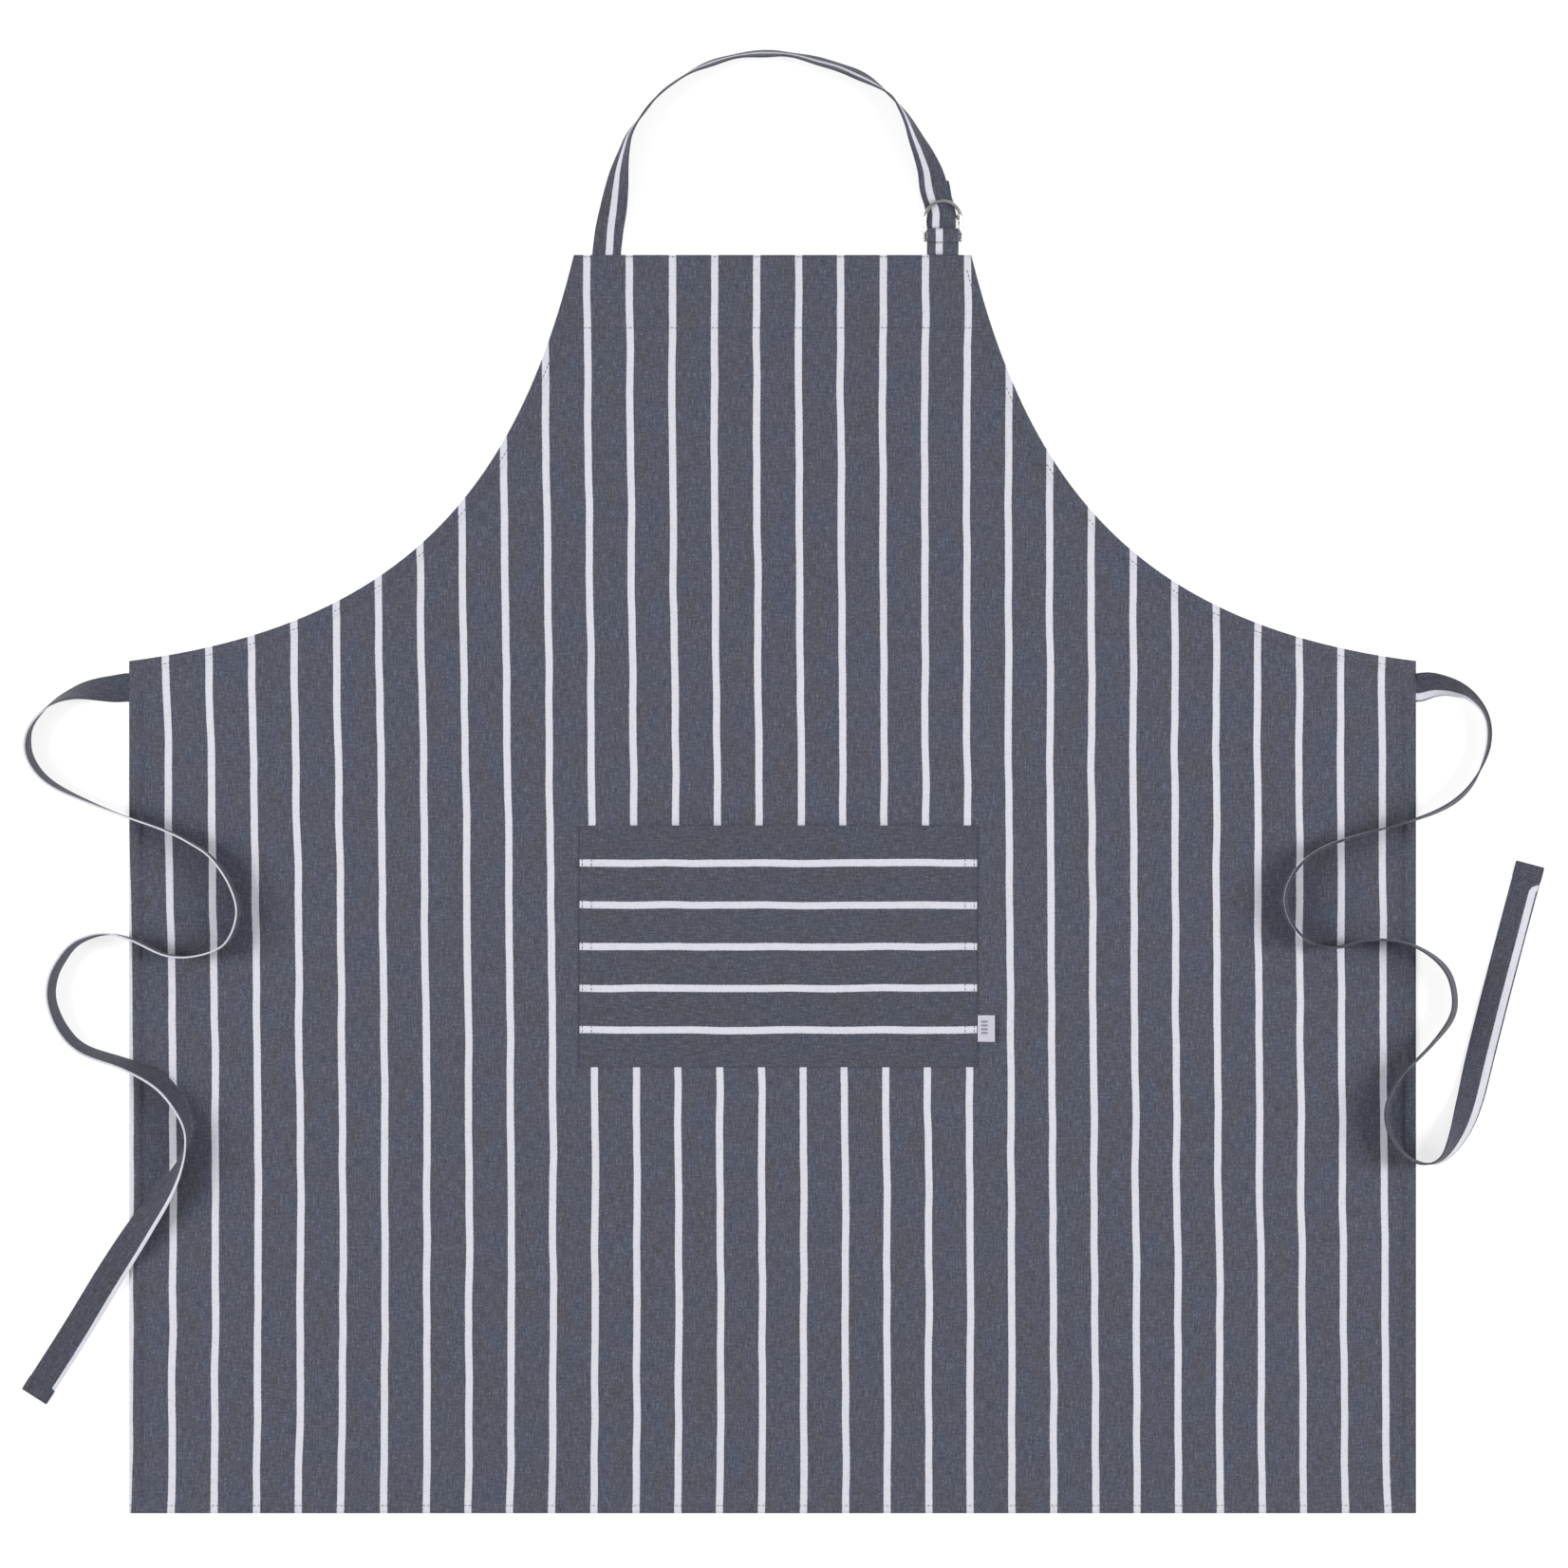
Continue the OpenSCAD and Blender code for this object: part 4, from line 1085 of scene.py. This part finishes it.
class APRON_OT_pocket(bpy.types.Operator):
    """Patch pocket with turned edges, sewn on three sides, its mouth standing up a little"""

    bl_idname = "apron.pocket"
    bl_label = "Patch Pocket"

    def execute(self, context):
        pocket = context.scene.apron_pocket
        # Depth 0.9 darkens the pocket's ground: painted shade on the same cloth as the panel
        material = striped_cotton("Cotton_Drill_Pocket", 14.6, turned=True, depth=0.9)
        base = CLOTH_T
        margin = pocket.margin
        edge_z = base + CLOTH_T

        def cloth(x, y, reach):
            at_mouth = smooth_step(y, POCKET_HIGH.y - margin, POCKET_HIGH.y - margin / 2)
            sewn = (1 - smooth_step(reach, margin * 0.8, margin)) * smooth_step(reach, 0, 2 * MM)
            sewn = sewn * (1 - at_mouth)
            low = edge_z + pocket_lift(x, y) + 0.08 * MM * (1 + puckers(x, y, 12 * MM, 39 * MM)) * sewn
            high = low + CLOTH_T
            lip = reach < 0.05 * MM
            return np.where(lip, low - 0.1 * MM, low), np.where(lip, high - 0.35 * MM, high)

        outline = rectangle(POCKET_LOW.x, POCKET_LOW.y, POCKET_HIGH.x, POCKET_HIGH.y)
        loops = [0.5 * MM, POCKET_ROWS[0], 5 * MM, POCKET_ROWS[1], margin]
        panel = cloth_plate("Pocket", outline, 5 * MM, loops, cloth, material)
        stand_in(panel, "striped_cloth", "pocket_panel")

        def turning(x, y, reach):
            return np.full(len(x), base + 0.02 * MM), np.full(len(x), edge_z - 0.02 * MM)

        for node in ("pocket_left_turning", "pocket_right_turning", "pocket_bottom_turning"):
            low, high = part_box(node)
            gap = 0.05 * MM
            outline = rectangle(low.x + gap, low.y + gap, high.x - gap, high.y - gap)
            piece = cloth_plate(node.title(), outline, 4 * MM, [0.4 * MM], turning, material)
            stand_in(piece, "striped_cloth", node)

        def mouth(x, y, reach):
            high = edge_z + pocket_lift(x, y) - 0.03 * MM
            thick = np.minimum(HEM_T, high - base - 0.05 * MM)
            return high - thick, high

        low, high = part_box("pocket_mouth_hem")
        outline = rectangle(low.x + 0.1 * MM, low.y, high.x - 0.1 * MM, high.y - 0.3 * MM)
        hem = cloth_plate("Pocket_Mouth_Hem", outline, 4 * MM, [0.4 * MM], mouth, material)
        stand_in(hem, "striped_cloth", "pocket_mouth_hem")

        self.sew()
        return {"FINISHED"}

    def sew(self):
        """Two rows up each side, one along the bottom and one below the mouth."""
        outer, inner = POCKET_ROWS

        def follow(points):
            seam_z = 3 * CLOTH_T + THREAD_RISE
            return [(x, y, seam_z + float(pocket_lift(x, y))) for x, y in points]

        for name, edge, way in (("left", POCKET_LOW.x, 1), ("right", POCKET_HIGH.x, -1)):
            bar_y = POCKET_HIGH.y - 1.5 * MM
            ys = np.linspace(POCKET_LOW.y + 2.6 * MM, bar_y, 24)
            lines = [follow([(edge + way * row, y) for y in ys]) for row in POCKET_ROWS]
            # A short bar across the top of both rows keeps the mouth's corner from tearing
            lines.append(follow([(edge + way * outer, bar_y), (edge + way * inner, bar_y)]))
            stitch_row(f"Pocket_{name.title()}_Stitches", lines, f"pocket_{name}_stitching")
        y = POCKET_LOW.y + outer
        bottom = follow([(POCKET_LOW.x + outer, y), (POCKET_HIGH.x - outer, y)])
        stitch_row("Pocket_Bottom_Stitches", [bottom], "pocket_bottom_stitching")
        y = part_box("pocket_mouth_stitching")[0].y
        xs = np.linspace(POCKET_LOW.x + 10 * MM, POCKET_HIGH.x - 10 * MM, 80)
        stitch_row("Pocket_Mouth_Stitches", [follow([(x, y) for x in xs])], "pocket_mouth_stitching")


class APRON_OT_label(bpy.types.Operator):
    """Woven label caught in the pocket's seam, curling up at its free end"""

    bl_idname = "apron.label"
    bl_label = "Label"

    def execute(self, context):
        low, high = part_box("label")
        material = woven_label(low, high)

        def heights(x, y, reach):
            along = (x - low.x) / (high.x - low.x)
            across = (y - low.y) / (high.y - low.y) * 2 - 1
            bottom = low.z + 1.5 * MM * along**2 + 0.35 * MM * across**2 * along
            lip = 0.2 * MM * (reach < 0.05 * MM)
            return bottom + lip / 2, bottom + (high.z - low.z) - lip

        outline = rectangle(low.x, low.y, high.x, high.y)
        label = cloth_plate("Label", outline, 0.8 * MM, [0.25 * MM], heights, material, "label")
        stand_in(label, "label_cloth", "label")
        return {"FINISHED"}


# ---------------------------------------------------------------- rings


class APRON_OT_rings(bpy.types.Operator):
    """Nickel-plated D-rings, and the folded tape that holds them by their bars"""

    bl_idname = "apron.rings"
    bl_label = "Rings and Holder"

    def execute(self, context):
        tapes = context.scene.apron_tapes
        nickel = nickel_plate()
        for name in ("rear_ring", "front_ring"):
            ring = frame["nodes"][name]
            ring.data.materials.clear()
            ring.data.materials.append(nickel)
        low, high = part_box("ring_holder")
        rear_low, rear_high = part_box("rear_ring")
        joint = next(j for j in frame["joints"] if j["child"] == "front_ring")
        wire_r = (rear_high.z - rear_low.z) / 2
        rear = np.array([rear_low.y + wire_r, rear_low.z + wire_r])
        front = np.array(joint["pos_m"][1:3])
        half_t = tapes.thickness / 2
        reach = wire_r + BAR_CLEARANCE + half_t
        step = front - rear
        slope = math.degrees(math.atan2(step[1], step[0]))
        # From the sewn end, under both bars, round the front one and back over them to the seam
        line = [(y, half_t) for y in np.linspace(low.y, rear[0], 10)]

        def arc(centre, start, stop, count):
            turns = np.radians(np.linspace(start, stop, count))
            return [(centre[0] + reach * math.cos(t), centre[1] + reach * math.sin(t)) for t in turns]

        line += arc(rear, -84, slope - 90, 4)
        line += arc(front, slope - 90, slope + 90, 14)
        line += arc(rear, slope + 90, 118, 4)
        seam = np.array([TOP_Y + 0.4 * MM, tapes.thickness + 0.1 * MM])
        last = np.array(line[-1])
        line += [tuple(last + (seam - last) * t) for t in (0.33, 0.66, 1.0)]
        middle_x = (low.x + high.x) / 2
        centres = [(middle_x, y, z) for y, z in line]
        across = np.repeat([(-1.0, 0.0, 0.0)], len(centres), axis=0)
        material = striped_cotton("Cotton_Drill_Ring_Holder", 20.0, True, on_tape=True, wander=0.2)
        width = high.x - low.x
        holder, _ = sweep("Ring_Holder", centres, across, width, tapes.thickness, material)
        stand_in(holder, "tape", "ring_holder")
        return {"FINISHED"}


# ---------------------------------------------------------------- stage


class APRON_OT_stage(bpy.types.Operator):
    """Pale floor, two soft lights and the camera straight above"""

    bl_idname = "apron.stage"
    bl_label = "Stage"

    def execute(self, context):
        stage = context.scene.apron_stage
        scene = context.scene
        camera_data = bpy.data.cameras.new("Camera")
        camera_data.sensor_width = 36.0
        camera_data.lens = camera_data.sensor_width * stage.camera_height / stage.view_width
        camera = bpy.data.objects.new("Camera", camera_data)
        camera.location = (CAMERA_X, CAMERA_Y, stage.camera_height)
        scene.collection.objects.link(camera)
        scene.camera = camera
        for side in (-1, 1):
            data = bpy.data.lights.new(f"Soft_Light_{'Left' if side < 0 else 'Right'}", "AREA")
            data.shape = "RECTANGLE"
            data.size, data.size_y = LIGHT_SIZE
            data.energy = stage.light_power
            light = bpy.data.objects.new(data.name, data)
            light.location = (side * LIGHT_X, LIGHT_Y, LIGHT_Z)
            light.rotation_euler = Vector(light.location).to_track_quat("Z", "Y").to_euler()
            scene.collection.objects.link(light)
        world = bpy.data.worlds.new("Pale_Surround")
        world.use_nodes = True
        background = world.node_tree.nodes["Background"]
        background.inputs["Color"].default_value = (1, 1, 1, 1)
        background.inputs["Strength"].default_value = SURROUND_STRENGTH
        scene.world = world
        corners = rectangle(-FLOOR_REACH, -FLOOR_REACH, FLOOR_REACH, FLOOR_REACH)
        corners = [(x, y, FLOOR_Z) for x, y in corners]
        floor = mesh_piece("Floor", corners, [[0, 1, 2, 3]], studio_floor(), None)
        scene.view_settings.view_transform = "Standard"
        return {"FINISHED"}


class APRON_PT_sidebar(bpy.types.Panel):
    """The apron's settings and pieces"""

    bl_idname = "APRON_PT_sidebar"
    bl_label = "Butcher Apron"
    bl_space_type = "VIEW_3D"
    bl_region_type = "UI"
    bl_category = "Apron"

    def draw(self, context):
        for group in GROUPS:
            box = self.layout.box()
            settings = getattr(context.scene, group)
            for key in settings.bl_rna.properties.keys():
                if key not in ("rna_type", "name"):
                    box.prop(settings, key)
        for operator in OPERATORS:
            self.layout.operator(operator.bl_idname)


GROUPS = {
    "apron_cloth": ApronCloth,
    "apron_pocket": ApronPocket,
    "apron_tapes": ApronTapes,
    "apron_stitches": ApronStitches,
    "apron_stage": ApronStage,
}
OPERATORS = (
    APRON_OT_stage,
    APRON_OT_neck_strap,
    APRON_OT_ties,
    APRON_OT_panel,
    APRON_OT_pocket,
    APRON_OT_label,
    APRON_OT_rings,
    APRON_OT_stitching,
)


def register():
    for group in GROUPS.values():
        bpy.utils.register_class(group)
    for name, group in GROUPS.items():
        setattr(bpy.types.Scene, name, bpy.props.PointerProperty(type=group))
    for item in (*OPERATORS, APRON_PT_sidebar):
        bpy.utils.register_class(item)


def unregister():
    for item in (APRON_PT_sidebar, *reversed(OPERATORS)):
        bpy.utils.unregister_class(item)
    for name, group in GROUPS.items():
        delattr(bpy.types.Scene, name)
        bpy.utils.unregister_class(group)


def main():
    register()
    for operator in OPERATORS:
        group, name = operator.bl_idname.split(".")
        getattr(getattr(bpy.ops, group), name)()


if __name__ == "__main__":
    main()
